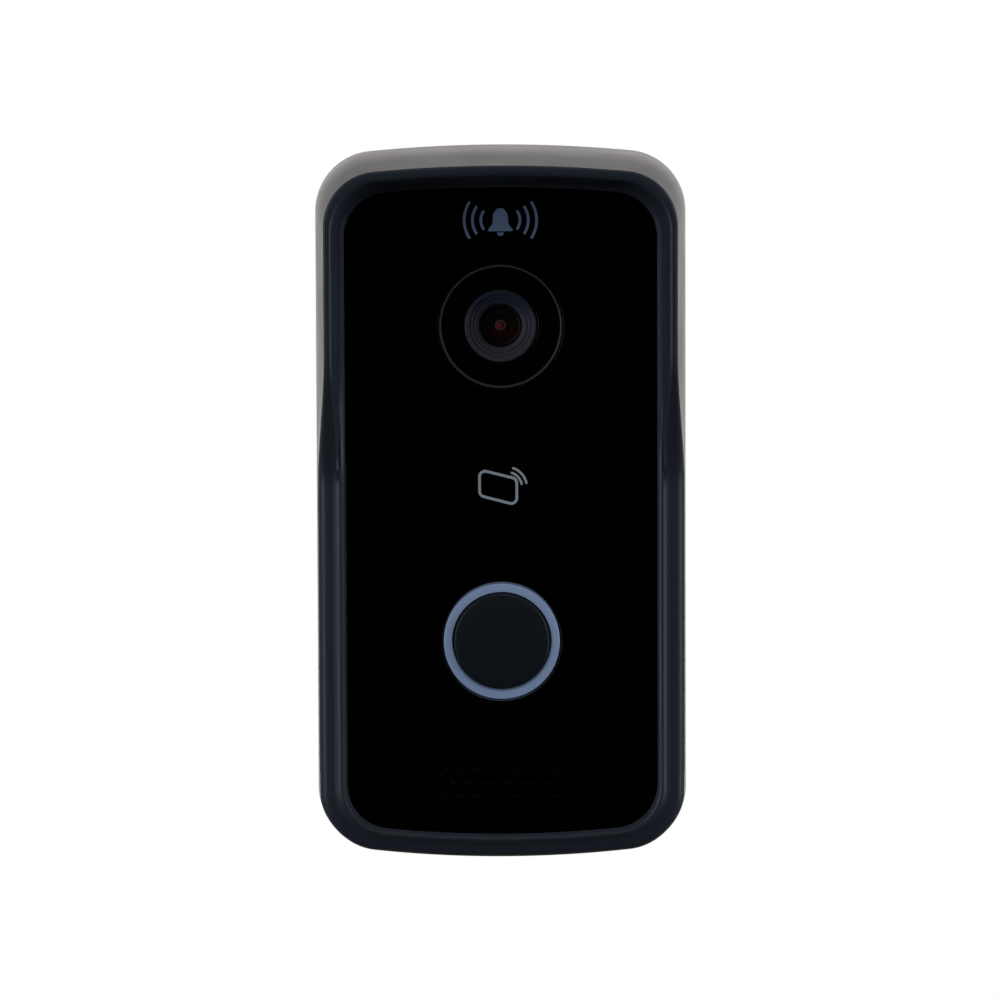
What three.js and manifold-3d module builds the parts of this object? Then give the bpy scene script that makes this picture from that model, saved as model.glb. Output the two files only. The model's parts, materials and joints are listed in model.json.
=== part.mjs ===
// Surface-mounted video doorbell: frame with rain hood, gloss panel, camera, card reader, call button.
// Millimetres, +Z up. The face looks towards -Y, and the wall plane is Y = 0.
// Depths are measured forwards from the wall: depth = -Y.
import * as THREE from 'three';
import { mergeVertices } from 'three/addons/utils/BufferGeometryUtils.js';
import Module from 'manifold-3d';

const wasm = await Module();
wasm.setup();

// ---------- Driving dimensions ----------

// Outline of the body at the wall, and of the hole that the face panel fills.
const BODY = { halfWidth: 33.75, top: 65, bottom: -65, corner: 11, bowTop: 250, bowBottom: 215 };
const PANEL_HOLE = { halfWidth: 28.1, top: 57.85, bottom: -59.0, corner: 8.2, bowTop: 243, bowBottom: 208 };
const PANEL_GAP = 0.15;

const HOUSING_REAR = 0.6;
const DECK_BACK = 15.3;
const DECK_FRONT = 17.1;
const PANEL_BACK = 17.4;
const PANEL_FACE = 19.4;
const HOOD_DEPTH = 32;
const HOOD_START = 4;
const HOOD_FULL = 28;

const COVER_BACK = 2.0;
const COVER_FRONT = 3.6;
const LEDGE = 4.2;
const BRACKET_THICK = 1.6;

const CAMERA_Z = 32.85;
const BUTTON_Z = -24.0;
const SPEAKER_Z = -48.2;

// Number of flats on a round piece, unless it asks for fewer.
const ROUND = 24;

// The frame's section at the foot and under the hood. The first number is the way in from
// the body's outline (0) to the panel hole (1), the second is the depth.
const SECTION_LOW = [
  [0, HOUSING_REAR], [0.08, 10], [0.115, 16.8], [0.17, 18.2], [0.3, 18.9],
  [0.6, 19.2], [0.72, 19.45], [0.84, 19.9], [0.955, 19.55], [1, 19.5],
];
const SECTION_HOOD = [
  [0, HOUSING_REAR], [0.1, 16], [0.405, 31.6], [0.45, HOOD_DEPTH], [0.56, HOOD_DEPTH],
  [0.62, 31.9], [0.665, 31.4], [0.87, 20.6], [0.955, 19.6], [1, 19.5],
];
const SKIRT = 0.34;
const CAVITY = 0.6;
const FLANGE = 1.2;
const SECTION_INSIDE = [
  [1, DECK_FRONT], [FLANGE, DECK_FRONT], [FLANGE, DECK_BACK], [CAVITY, DECK_BACK], [CAVITY, LEDGE],
  [SKIRT, LEDGE], [SKIRT, HOUSING_REAR],
];
// Heights on the straight sides where the rising hood is sampled.
const SIDE_LEVELS = [2, 7, 11, 15, 19, 23, 28];
const CORNER_STEPS = 4;
const HALF_BOW_STEPS = 2;

const SCREW_BOSSES = [[-27, 50], [27, 50], [-27, -51], [27, -51]];
const BOARD_POSTS = [[-24, 14], [24, 14], [-24, -34], [24, -34]];
const BOARD_SCREWS = [BOARD_POSTS[1], BOARD_POSTS[2]];
const WIRING_WINDOW = { left: -19, right: 19, bottom: -37, top: -12 };
const HOOKS_X = [-16.5, 16.5];
const WALL_SLOTS = [[0, 40], [-12, 10], [12, 10], [0, -47]];
const LOCK_DEPTH = 6.6;

// Staggered rows of fine sound holes at the foot of the panel.
const GRILLE = { pitch: 2.4, hole: 0.55, rows: 3, longRow: 9, middle: SPEAKER_Z - 1.0 };

const WINDOW = { back: 18.3, radius: 10.6, ringInner: 10.75, ringOuter: 11.15 };
const BARREL_FRONT = 17.5;
const CAMERA_BOARD = { left: -10, right: 15, bottom: CAMERA_Z - 10, top: CAMERA_Z + 9.4, back: 4.4, front: 5.6 };
const CAMERA_SCREWS = [[-6.0, CAMERA_Z + 6.0], [12.2, CAMERA_Z - 6.0]];
const INFRARED_LED_RADIUS = 9.3;

const CAP_RADIUS = 8.6;
const LIGHT_INNER = 8.97;
const LIGHT_OUTER = 10.45;
const BUTTON_BOARD_FRONT = 14.2;
const RING_LED_RADIUS = 10.1;
const SWITCH_TOP = 15.4;
const PLUNGER_TOP = 15.8;

const ANTENNA = { halfWidth: 21, bottom: -9.5, top: 17.5, front: 15.0, turns: 3, track: 0.8, spacing: 1.6 };

const BOARD_BACK = 10.4;
const BOARD_FRONT = 12.0;
const SHIELD = { left: -10, right: 8, bottom: 2.5, top: 14.5, height: 2.2, wall: 0.4 };
const CAPACITORS_X = [-13.4, -19.2];
const JACK = { x: -9.7, z: -25 };
const TERMINAL = { x: 9.6, z: -31, ways: 4, pitch: 4 };
const RESET_X = 10;
const RESET_Z = -3;
const TAMPER_X = -12;
const TAMPER_Z = -3;

const SPEAKER = { halfWidth: 14.6, halfHeight: 9.4, corner: 9.3 };
const MICROPHONE = { x: -19.2, depth: 11.0, low: -59.8, high: -57.3 };

// ---------- Materials ----------

const finish = (color, roughness, metalness) => new THREE.MeshStandardMaterial({ color, roughness, metalness });
const HOUSING_PLASTIC = finish(0x1b1e23, 0.45, 0);
const PANEL_GLOSS = finish(0x020203, 0.05, 0);
const BUTTON_PLASTIC = finish(0x101419, 0.5, 0);
const DIFFUSER = finish(0x647594, 0.35, 0);
const DARK_TRIM = finish(0x2d3237, 0.3, 0.4);
const CLEAR_GLASS = finish(0xdfe6ea, 0.02, 0);
const LENS_GLASS = finish(0x1a1410, 0.02, 0);
const FILTER_BLACK = finish(0x050406, 0.1, 0);
const LENS_BLACK = finish(0x2d2a32, 0.4, 0.5);
const COVER_PLASTIC = finish(0x202226, 0.55, 0);
const PLATED_STEEL = finish(0xb8bcc0, 0.35, 1);
const BLACK_STEEL = finish(0x303236, 0.4, 0.9);
const COPPER = finish(0xb87333, 0.3, 1);
const BOARD_GREEN = finish(0x0f4a2c, 0.5, 0);
const CHIP_BLACK = finish(0x141416, 0.6, 0);
const SILICONE = finish(0x8a8c90, 0.7, 0);
const RUBBER = finish(0x18181a, 0.8, 0);
const TAPE = finish(0x222224, 0.9, 0);
const LED_EPOXY = finish(0xe8e6c8, 0.3, 0);
const SHIELD_TIN = finish(0xc4c6c8, 0.3, 1);
const TERMINAL_GREEN = finish(0x2c7a46, 0.5, 0);
const FERRITE = finish(0x3a3836, 0.7, 0);
const SLEEVE_BLUE = finish(0x22335c, 0.4, 0);
const CONE_PAPER = finish(0x2a2826, 0.9, 0);
const SWITCH_RED = finish(0x8c1c18, 0.5, 0);

const group = new THREE.Group();

function add(name, shape, material) {
  const mesh = new THREE.Mesh(shape.isBufferGeometry ? shape : toGeometry(shape), material);
  mesh.name = name;
  group.add(mesh);
  return mesh;
}

// ---------- Solids ----------

function signedVolume(positions, index) {
  const corner = (i) => new THREE.Vector3().fromArray(positions, 3 * index[i]);
  let volume = 0;
  for (let i = 0; i < index.length; i += 3) {
    volume += corner(i).dot(corner(i + 1).cross(corner(i + 2))) / 6;
  }
  return volume;
}

function solid(geometry) {
  const bare = geometry.clone();
  bare.deleteAttribute('normal');
  bare.deleteAttribute('uv');
  const merged = mergeVertices(bare, 1e-4);
  const positions = new Float32Array(merged.attributes.position.array);
  let index = Array.from(merged.index.array);
  index = dropSlivers(index);
  if (signedVolume(positions, index) < 0) {
    index.reverse();
  }
  return new wasm.Manifold(new wasm.Mesh({
    numProp: 3,
    vertProperties: positions,
    triVerts: new Uint32Array(index),
  }));
}

// Triangles that have lost a corner to merging, such as those at a turned shape's pole, are left out.
function dropSlivers(index) {
  const kept = [];
  for (let i = 0; i < index.length; i += 3) {
    const [a, b, c] = index.slice(i, i + 3);
    if (a !== b && b !== c && a !== c) {
      kept.push(a, b, c);
    }
  }
  return kept;
}

function toGeometry(manifold) {
  const mesh = manifold.getMesh();
  const geometry = new THREE.BufferGeometry();
  geometry.setAttribute('position', new THREE.Float32BufferAttribute(mesh.vertProperties, 3));
  geometry.setIndex(Array.from(mesh.triVerts));
  geometry.computeVertexNormals();
  return geometry;
}

const join = (first, ...others) => others.reduce((sum, other) => sum.add(other), first);
const cut = (first, ...others) => others.reduce((rest, other) => rest.subtract(other), first);

// A block between two sides, two depths and two heights.
function block(left, right, back, front, bottom, top) {
  const geometry = new THREE.BoxGeometry(right - left, front - back, top - bottom);
  geometry.translate((left + right) / 2, -(back + front) / 2, (bottom + top) / 2);
  return solid(geometry);
}

// A flat piece cut to an outline of [x, z] points, with holes, between two depths.
function plate(outline, back, front, holes = []) {
  const toVectors = (points) => points.map(([x, z]) => new THREE.Vector2(x, z));
  const shape = new THREE.Shape(toVectors(outline));
  for (const hole of holes) {
    shape.holes.push(new THREE.Path(toVectors(hole)));
  }
  const geometry = new THREE.ExtrudeGeometry(shape, { depth: front - back, bevelEnabled: false, steps: 1 });
  geometry.rotateX(Math.PI / 2);
  geometry.translate(0, -back, 0);
  return solid(geometry);
}

// A piece turned about an axis along Y. The profile is a closed run of [radius, depth] points.
function turned(profile, x, z, steps = ROUND) {
  const closed = profile[0][0] > 0 ? [...profile, profile[0]] : profile;
  const points = closed.map(([radius, depth]) => new THREE.Vector2(radius, -depth));
  const geometry = new THREE.LatheGeometry(points, steps);
  geometry.translate(x, 0, z);
  return solid(geometry);
}

const disc = (radius, back, front, x, z, steps = ROUND) =>
  turned([[0, back], [radius, back], [radius, front], [0, front]], x, z, steps);

const ring = (inner, outer, back, front, x, z, steps = ROUND) =>
  turned([[inner, back], [outer, back], [outer, front], [inner, front]], x, z, steps);

// A round bar along Z at a given depth.
function upright(radius, x, depth, bottom, top, steps = 20) {
  const geometry = new THREE.CylinderGeometry(radius, radius, top - bottom, steps);
  geometry.rotateX(Math.PI / 2);
  geometry.translate(x, -depth, (bottom + top) / 2);
  return solid(geometry);
}

function roundedRectangle(left, right, bottom, top, radius, steps = 4) {
  const corners = [[right, bottom, -90], [right, top, 0], [left, top, 90], [left, bottom, 180]];
  return corners.flatMap(([x, z, start]) => Array.from({ length: steps + 1 }, (_, i) => {
    const angle = THREE.MathUtils.degToRad(start + 90 * i / steps);
    const cx = x - Math.sign(x - (left + right) / 2) * radius;
    const cz = z - Math.sign(z - (bottom + top) / 2) * radius;
    return [cx + radius * Math.cos(angle), cz + radius * Math.sin(angle)];
  }));
}

// ---------- The bowed outline ----------

// Where a corner arc meets the side and the bowed end: the corner's centre, and the angle of
// the joint with the bow, both for the end above the middle.
function cornerOf({ halfWidth, corner }, end, bow) {
  const x = halfWidth - corner;
  const rise = Math.sqrt((bow - corner) ** 2 - x ** 2);
  return { x, z: end - bow + rise, joint: Math.atan2(rise, x) };
}

// A quarter of the outline above the middle: up the side, round the corner and along the bow to the centre.
function quarter(shape, end, bow, levels) {
  const { x, z, joint } = cornerOf(shape, end, bow);
  const points = levels.map((level) => [shape.halfWidth, level]);
  for (let i = 0; i <= CORNER_STEPS; i++) {
    const angle = joint * i / CORNER_STEPS;
    points.push([x + shape.corner * Math.cos(angle), z + shape.corner * Math.sin(angle)]);
  }
  for (let i = 1; i <= HALF_BOW_STEPS; i++) {
    const angle = joint + (Math.PI / 2 - joint) * i / HALF_BOW_STEPS;
    points.push([bow * Math.cos(angle), end - bow + bow * Math.sin(angle)]);
  }
  return points;
}

function outline(shape) {
  const upper = quarter(shape, shape.top, shape.bowTop, SIDE_LEVELS);
  const lower = quarter(shape, -shape.bottom, shape.bowBottom, []);
  const right = [...lower.map(([x, z]) => [x, -z]).reverse(), ...upper];
  const left = right.slice(1, -1).map(([x, z]) => [-x, z]).reverse();
  return [...right, ...left];
}

const BODY_LINE = outline(BODY);
const HOLE_LINE = outline(PANEL_HOLE);

// The outline a share of the way in from the body's edge to the panel hole.
const between = (share) => BODY_LINE.map(([x, z], i) => [
  THREE.MathUtils.lerp(x, HOLE_LINE[i][0], share),
  THREE.MathUtils.lerp(z, HOLE_LINE[i][1], share),
]);

// How far the hood has risen at a height: 0 at the foot, 1 at the top.
const hoodRise = (z) => THREE.MathUtils.smoothstep(z, HOOD_START, HOOD_FULL);

// ---------- Shell ----------

function housingRing() {
  const positions = [];
  const count = BODY_LINE.length;
  const sections = BODY_LINE.map(([, z]) => {
    const rise = hoodRise(z);
    const front = SECTION_LOW.map(([share, depth], i) => [
      THREE.MathUtils.lerp(share, SECTION_HOOD[i][0], rise),
      THREE.MathUtils.lerp(depth, SECTION_HOOD[i][1], rise),
    ]);
    return [...front, ...SECTION_INSIDE];
  });
  sections.forEach((section, i) => {
    for (const [share, depth] of section) {
      const x = THREE.MathUtils.lerp(BODY_LINE[i][0], HOLE_LINE[i][0], share);
      const z = THREE.MathUtils.lerp(BODY_LINE[i][1], HOLE_LINE[i][1], share);
      positions.push(x, -depth, z);
    }
  });
  const across = sections[0].length;
  const index = [];
  for (let i = 0; i < count; i++) {
    for (let j = 0; j < across; j++) {
      const a = i * across + j;
      const b = i * across + (j + 1) % across;
      const c = ((i + 1) % count) * across + j;
      const d = ((i + 1) % count) * across + (j + 1) % across;
      index.push(a, b, c, b, d, c);
    }
  }
  const geometry = new THREE.BufferGeometry();
  geometry.setAttribute('position', new THREE.Float32BufferAttribute(positions, 3));
  geometry.setIndex(index);
  return solid(geometry);
}

function frontHousing() {
  let body = housingRing();
  body = body.add(plate(between(FLANGE - 0.1), DECK_BACK, DECK_FRONT));
  for (const [x, z] of SCREW_BOSSES) {
    body = body.add(disc(3.2, LEDGE, DECK_BACK + 0.5, x, z, 16));
    body = body.subtract(disc(1.25, LEDGE - 1, DECK_BACK - 2, x, z, 12));
  }
  for (const [x, z] of BOARD_POSTS) {
    body = body.add(disc(2.2, BOARD_FRONT + 0.3, DECK_BACK + 0.5, x, z, 12));
    body = body.subtract(disc(1.05, BOARD_FRONT, DECK_BACK + 0.6, x, z, 8));
  }
  return cut(
    body,
    disc(11.9, DECK_BACK - 1, DECK_FRONT + 1, 0, CAMERA_Z),
    disc(10.75, DECK_BACK - 1, DECK_FRONT + 1, 0, BUTTON_Z),
    block(-13, 13, DECK_BACK - 1, DECK_FRONT + 1, SPEAKER_Z - 4.6, SPEAKER_Z + 3.6),
    upright(0.8, MICROPHONE.x, MICROPHONE.depth, -67, -59, 8),
    upright(1.75, 0, LOCK_DEPTH, -67, -60),
    upright(3.1, 0, LOCK_DEPTH, -67, -63.4),
  );
}

function grilleCentres() {
  const centres = [];
  for (let row = 0; row < GRILLE.rows; row++) {
    const count = GRILLE.longRow - row % 2;
    const z = GRILLE.middle + (row - (GRILLE.rows - 1) / 2) * GRILLE.pitch;
    for (let i = 0; i < count; i++) {
      centres.push([(i - (count - 1) / 2) * GRILLE.pitch, z]);
    }
  }
  return centres;
}

function facePanel() {
  const inset = { ...PANEL_HOLE, halfWidth: PANEL_HOLE.halfWidth - PANEL_GAP };
  inset.top -= PANEL_GAP;
  inset.bottom += PANEL_GAP;
  inset.corner -= PANEL_GAP;
  const circle = (radius, x, z, steps) => Array.from({ length: steps }, (_, i) => {
    const angle = 2 * Math.PI * i / steps;
    return [x + radius * Math.cos(angle), z + radius * Math.sin(angle)];
  });
  const holes = [
    circle(11.35, 0, CAMERA_Z, 32),
    circle(10.8, 0, BUTTON_Z, ROUND),
    ...grilleCentres().map(([x, z]) => circle(GRILLE.hole, x, z, 4)),
  ];
  return plate(outline(inset), PANEL_BACK, PANEL_FACE, holes);
}

function panelTape() {
  const inner = roundedRectangle(-24.2, 24.2, -54.6, 54.2, 5);
  return plate(between(1.04), DECK_FRONT + 0.02, PANEL_BACK - 0.02, [inner]);
}

function rearCover() {
  const rim = cut(plate(between(0.66), COVER_FRONT - 0.5, 6.4), plate(between(0.9), COVER_FRONT - 1, 7));
  let body = join(plate(between(0.39), COVER_BACK, COVER_FRONT), rim);
  for (const x of HOOKS_X) {
    body = body.add(block(x - 6.8, x + 6.8, COVER_FRONT - 0.5, 6.8, 42.8, 56.4));
    body = body.subtract(block(x - 5.5, x + 5.5, COVER_BACK - 1, COVER_FRONT, 44, 50.8));
    body = body.subtract(block(x - 5.5, x + 5.5, COVER_FRONT - 0.01, 5.6, 44, 55.2));
  }
  body = body.add(block(-7, 7, COVER_FRONT - 0.5, 10.4, -60.3, -55));
  body = body.subtract(block(-5.6, 5.6, COVER_BACK - 1, 9.2, -62, -56.2));
  for (const [x, z] of SCREW_BOSSES) {
    body = body.subtract(disc(4.0, LEDGE - 0.6, 8, x, z, 16));
    body = body.subtract(disc(1.7, 0, 5, x, z, 12));
    body = body.subtract(disc(3.1, 0, 2.6, x, z, 16));
  }
  const { left, right, bottom, top } = WIRING_WINDOW;
  body = body.subtract(block(left, right, 0, 8, bottom, top));
  body = body.subtract(disc(2.1, 0, 8, RESET_X, RESET_Z, 12));
  body = body.subtract(disc(2.4, 0, 8, TAMPER_X, TAMPER_Z, 12));
  return body;
}

function rearGasket() {
  return cut(plate(between(0.4), COVER_FRONT + 0.06, LEDGE - 0.06), plate(between(0.61), 3, 5));
}

function crossScrew(headRadius, headBack, headFront, shankRadius, tip, x, z) {
  const body = turned([
    [0, headBack], [headRadius * 0.8, headBack], [headRadius, headBack + 0.3], [headRadius, headFront],
    [shankRadius, headFront], [shankRadius, tip], [0, tip],
  ], x, z, 10);
  const slot = headRadius * 0.12;
  const reach = headRadius * 0.55;
  const depth = (headFront - headBack) * 0.6;
  return cut(
    body,
    block(x - reach, x + reach, headBack - 1, headBack + depth, z - slot, z + slot),
    block(x - slot, x + slot, headBack - 1, headBack + depth, z - reach, z + reach),
  );
}

function wallBracket() {
  const { left, right, bottom, top } = WIRING_WINDOW;
  let body = plate(roundedRectangle(-23.5, 23.5, -56, 56, 5), 0, BRACKET_THICK, [
    roundedRectangle(left - 0.5, right + 0.5, bottom - 1, top + 1, 3),
  ]);
  for (const x of HOOKS_X) {
    body = body.add(block(x - 4, x + 4, 0.5, 5.0, 48.2, 49.8));
    body = body.add(block(x - 4, x + 4, 3.9, 5.0, 49, 54.2));
  }
  body = body.add(block(-4.5, 4.5, 0, 8.8, -58.6, -57.0));
  body = body.add(block(-4.5, 4.5, 0, BRACKET_THICK, -58, -55));
  body = body.subtract(upright(1.65, 0, LOCK_DEPTH, -60, -55));
  for (const [x, z] of WALL_SLOTS) {
    body = body.subtract(plate(roundedRectangle(x - 4, x + 4, z - 2.1, z + 2.1, 2.09, 3), -1, 3));
  }
  return body;
}

// A rubber edge round the bracket's window, which keeps the wires off the steel.
function cableGrommet() {
  const { left, right, bottom, top } = WIRING_WINDOW;
  return plate(roundedRectangle(left - 0.3, right + 0.3, bottom - 0.8, top + 0.8, 2.8), 0.05, 1.9, [
    roundedRectangle(left + 1.2, right - 1.2, bottom + 0.7, top - 0.7, 1.8).reverse(),
  ]);
}

function lockScrew() {
  const points = [[0, -64.6], [2.7, -64.6], [2.7, -63.7], [1.4, -63.7], [1.4, -56.9], [0, -56.4]];
  const geometry = new THREE.LatheGeometry(points.map(([r, z]) => new THREE.Vector2(r, z)), 20);
  geometry.rotateX(Math.PI / 2);
  geometry.translate(0, -LOCK_DEPTH, 0);
  const socket = upright(1.1, 0, LOCK_DEPTH, -66, -64.05, 6);
  return solid(geometry).subtract(socket);
}

// ---------- Camera ----------

function lensBarrel() {
  return turned([
    [3.85, 17.0], [4.3, 17.0], [4.3, 17.2], [4.9, 17.2], [4.9, 17.35], [5.5, 17.35], [5.5, BARREL_FRONT],
    [6.5, BARREL_FRONT], [6.5, 14.8], [5.6, 14.4], [5.6, 9.2], [3.6, 9.2], [3.6, 13.2], [3.85, 13.6],
  ], 0, CAMERA_Z, 20);
}

function frontLens() {
  return turned([
    [0, 14.6], [3.65, 14.6], [3.65, 15.8], [3.2, 16.25], [2.4, 16.6], [1.3, 16.82], [0, 16.9],
  ], 0, CAMERA_Z, 20);
}

function lensHolder() {
  const body = join(
    block(-7.2, 13.6, 6.0, 9.1, CAMERA_Z - 7.2, CAMERA_Z + 7.2),
    disc(7.0, 8.8, 13.6, 0, CAMERA_Z, 20),
  );
  return cut(
    body,
    disc(5.9, 8.9, 14, 0, CAMERA_Z, 20),
    disc(4.3, 5, 9.5, 0, CAMERA_Z, 20),
    block(-5.2, 15, 7.1, 8.3, CAMERA_Z - 4.9, CAMERA_Z + 4.9),
    block(-4.7, 4.7, 5, 7.2, CAMERA_Z - 4.7, CAMERA_Z + 4.7),
    ...CAMERA_SCREWS.map(([x, z]) => disc(0.8, 5, 8.7, x, z, 8)),
  );
}

// A framed filter glass that slides aside at night.
const filterShutter = () => block(-4.6, 4.6, 7.35, 8.05, CAMERA_Z - 4.5, CAMERA_Z + 4.5);

function cameraBoard() {
  const { left, right, bottom, top, back, front } = CAMERA_BOARD;
  const board = plate(roundedRectangle(left, right, bottom, top, 1.5), back, front);
  return cut(board, ...CAMERA_SCREWS.map(([x, z]) => disc(0.8, 4, 6, x, z, 8)));
}

// ---------- Call button ----------

function callButton() {
  return turned([
    [0, 16.25], [2.2, 16.25], [2.2, 16.6], [7.0, 16.6], [7.0, 15.9], [9.5, 15.9], [9.5, 16.5],
    [CAP_RADIUS, 16.5], [CAP_RADIUS, 19.85], [8.2, 20.1], [7.4, 20.2], [0, 20.3],
  ], 0, BUTTON_Z);
}

function lightRing() {
  return turned([
    [LIGHT_INNER, 16.85], [9.8, 16.85], [9.8, 15.1], [LIGHT_OUTER, 15.1], [LIGHT_OUTER, 19.5],
    [10.3, 19.6], [LIGHT_INNER, 19.6],
  ], 0, BUTTON_Z);
}

function buttonSeal() {
  return turned([
    [4.6, 14.25], [9.0, 14.25], [9.0, 14.6], [7.6, 14.6], [8.4, 15.5], [9.0, 15.55], [9.0, 15.8],
    [7.9, 15.8], [6.9, 14.75], [4.6, 14.55],
  ], 0, BUTTON_Z, 16);
}

const buttonSwitch = () => cut(
  block(-2.6, 2.6, 14.22, SWITCH_TOP, BUTTON_Z - 2.6, BUTTON_Z + 2.6),
  disc(1.35, SWITCH_TOP - 0.75, SWITCH_TOP + 1, 0, BUTTON_Z, 16),
);

const switchPlunger = () => disc(1.1, SWITCH_TOP - 0.4, PLUNGER_TOP, 0, BUTTON_Z, 16);

// Adds four lamps of a half width on a circle about (0, centreZ), from one depth to another.
function lampCircle(name, radius, half, back, front, centreZ) {
  for (let i = 0; i < 4; i++) {
    const angle = Math.PI / 4 + i * Math.PI / 2;
    const x = radius * Math.cos(angle);
    const z = centreZ + radius * Math.sin(angle);
    add(`${name}_${i + 1}`, block(x - half, x + half, back, front, z - half, z + half), LED_EPOXY);
  }
}

// ---------- Card reader ----------

// The antenna board's outline, drawn in by an inset.
const antennaOutline = (inset, radius, steps) => roundedRectangle(
  -ANTENNA.halfWidth + inset, ANTENNA.halfWidth - inset,
  ANTENNA.bottom + inset, ANTENNA.top - inset, radius, steps);

const antennaBoard = () => plate(antennaOutline(0, 2, 4), ANTENNA.front - 0.8, ANTENNA.front);

// Square turns of copper track, bridged by one link so that they are a single piece.
function antennaCoil() {
  const back = ANTENNA.front + 0.02;
  const front = back + 0.12;
  let coil = block(8, 9, back, front, ANTENNA.bottom + 1.4, ANTENNA.bottom + 5);
  for (let turn = 0; turn < ANTENNA.turns; turn++) {
    const inset = 1.2 + turn * ANTENNA.spacing;
    const inner = antennaOutline(inset + ANTENNA.track, 1.2, 1);
    coil = coil.add(plate(antennaOutline(inset, 2, 1), back, front, [inner]));
  }
  return coil;
}

// ---------- Main electronics ----------

function mainBoard() {
  const body = plate(roundedRectangle(-27, 27, -36.5, 16.5, 2), BOARD_BACK, BOARD_FRONT);
  return cut(
    body,
    block(JACK.x - 8.3, JACK.x + 8.3, 9, 14, JACK.z - 7.3, JACK.z + 7.3),
    ...BOARD_POSTS.map(([x, z]) => disc(1.1, 9, 14, x, z, 8)),
  );
}

function networkJack() {
  const { x, z } = JACK;
  return cut(
    block(x - 8, x + 8, 2.4, 13.0, z - 7, z + 7),
    block(x - 5.9, x + 5.9, 1, 11.6, z - 4.2, z + 4.2),
    block(x - 3.2, x + 3.2, 1, 11.6, z - 6.0, z + 4.2),
  );
}

function terminalBlock() {
  const { x, z, ways, pitch } = TERMINAL;
  let body = block(x - 8.6, x + 8.6, 3.0, BOARD_BACK, z - 4, z + 4);
  for (let i = 0; i < ways; i++) {
    const way = x + (i - (ways - 1) / 2) * pitch;
    body = body.subtract(block(way - 1.1, way + 1.1, 2, 7, z - 3.2, z - 0.6));
    body = body.subtract(disc(1.1, 2, 5.4, way, z + 1.7, 8));
  }
  return body;
}

function processorShield() {
  const { left, right, bottom, top, height, wall } = SHIELD;
  return cut(
    block(left, right, BOARD_BACK - height, BOARD_BACK, bottom, top),
    block(left + wall, right - wall, BOARD_BACK - height + wall, BOARD_BACK + 1, bottom + wall, top - wall),
  );
}

// ---------- Sound ----------

// The speaker's oval outline, drawn in by an inset.
const speakerOutline = (inset) => roundedRectangle(
  -SPEAKER.halfWidth + inset, SPEAKER.halfWidth - inset,
  SPEAKER_Z - SPEAKER.halfHeight + inset, SPEAKER_Z + SPEAKER.halfHeight - inset, SPEAKER.corner - inset);

function speakerFrame() {
  return cut(
    plate(speakerOutline(0), 10.8, 14.4),
    plate(speakerOutline(1.2), 12.0, 15),
    disc(6.3, 10, 13, 0, SPEAKER_Z, 16),
  );
}

function speakerCone() {
  const profile = [[0, 13.2], [4.6, 13.2], [4.6, 13.6], [3.4, 13.95], [1.8, 14.12], [0, 14.18]];
  const dome = turned(profile, 0, SPEAKER_Z, 16);
  const coil = ring(4.3, 4.7, 12.4, 13.4, 0, SPEAKER_Z, 16);
  return join(plate(speakerOutline(2.2), 13.2, 13.5), dome, coil);
}

function speakerMagnet() {
  return turned([
    [0, 8.6], [6.0, 8.6], [6.0, 12.6], [5.1, 12.6], [5.1, 10.4], [3.9, 10.4], [3.9, 12.5], [0, 12.5],
  ], 0, SPEAKER_Z, 16);
}

const speakerGasket = () => plate(speakerOutline(0), 14.45, 15.25, [speakerOutline(1.2).reverse()]);

const microphone = () => upright(3, MICROPHONE.x, MICROPHONE.depth, MICROPHONE.low, MICROPHONE.high, 12);

function microphoneBoot() {
  const { x, depth, low, high } = MICROPHONE;
  const bore = upright(3.1, x, depth, low - 1, high + 1, 12);
  return upright(3.7, x, depth, low, high - 0.3, 12).subtract(bore);
}

// ---------- Assembly ----------

add('front_housing', frontHousing(), HOUSING_PLASTIC);
add('face_panel', facePanel(), PANEL_GLOSS);
add('panel_tape', panelTape(), TAPE);
add('rear_cover', rearCover(), COVER_PLASTIC);
add('rear_gasket', rearGasket(), RUBBER);
SCREW_BOSSES.forEach(([x, z], i) => {
  add(`rear_screw_${i + 1}`, crossScrew(2.7, 1.7, 2.55, 1.05, 11, x, z), PLATED_STEEL);
});
add('wall_bracket', wallBracket(), PLATED_STEEL);
add('lock_screw', lockScrew(), BLACK_STEEL);
add('cable_grommet', cableGrommet(), RUBBER);

add('window_ring', ring(WINDOW.ringInner, WINDOW.ringOuter, 17.6, 19.5, 0, CAMERA_Z, 32), DARK_TRIM);
add('camera_window', disc(WINDOW.radius, WINDOW.back, PANEL_FACE, 0, CAMERA_Z, 32), CLEAR_GLASS);
add('infrared_filter', ring(6.75, 11.5, 16.6, 17.35, 0, CAMERA_Z), FILTER_BLACK);
add('infrared_board', ring(7.3, 11.4, 13.8, 14.8, 0, CAMERA_Z, 24), BOARD_GREEN);
lampCircle('infrared_led', INFRARED_LED_RADIUS, 1.2, 14.82, 16.3, CAMERA_Z);
add('lens_barrel', lensBarrel(), LENS_BLACK);
add('front_lens', frontLens(), LENS_GLASS);
add('lens_holder', lensHolder(), CHIP_BLACK);
add('filter_shutter', filterShutter(), CLEAR_GLASS);
add('image_sensor', block(-4.2, 4.2, 5.65, 6.5, CAMERA_Z - 4.2, CAMERA_Z + 4.2), CHIP_BLACK);
add('camera_board', cameraBoard(), BOARD_GREEN);
CAMERA_SCREWS.forEach(([x, z], i) => {
  add(`camera_screw_${i + 1}`, crossScrew(1.3, 3.75, 4.35, 0.6, 8.4, x, z), PLATED_STEEL);
});

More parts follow.
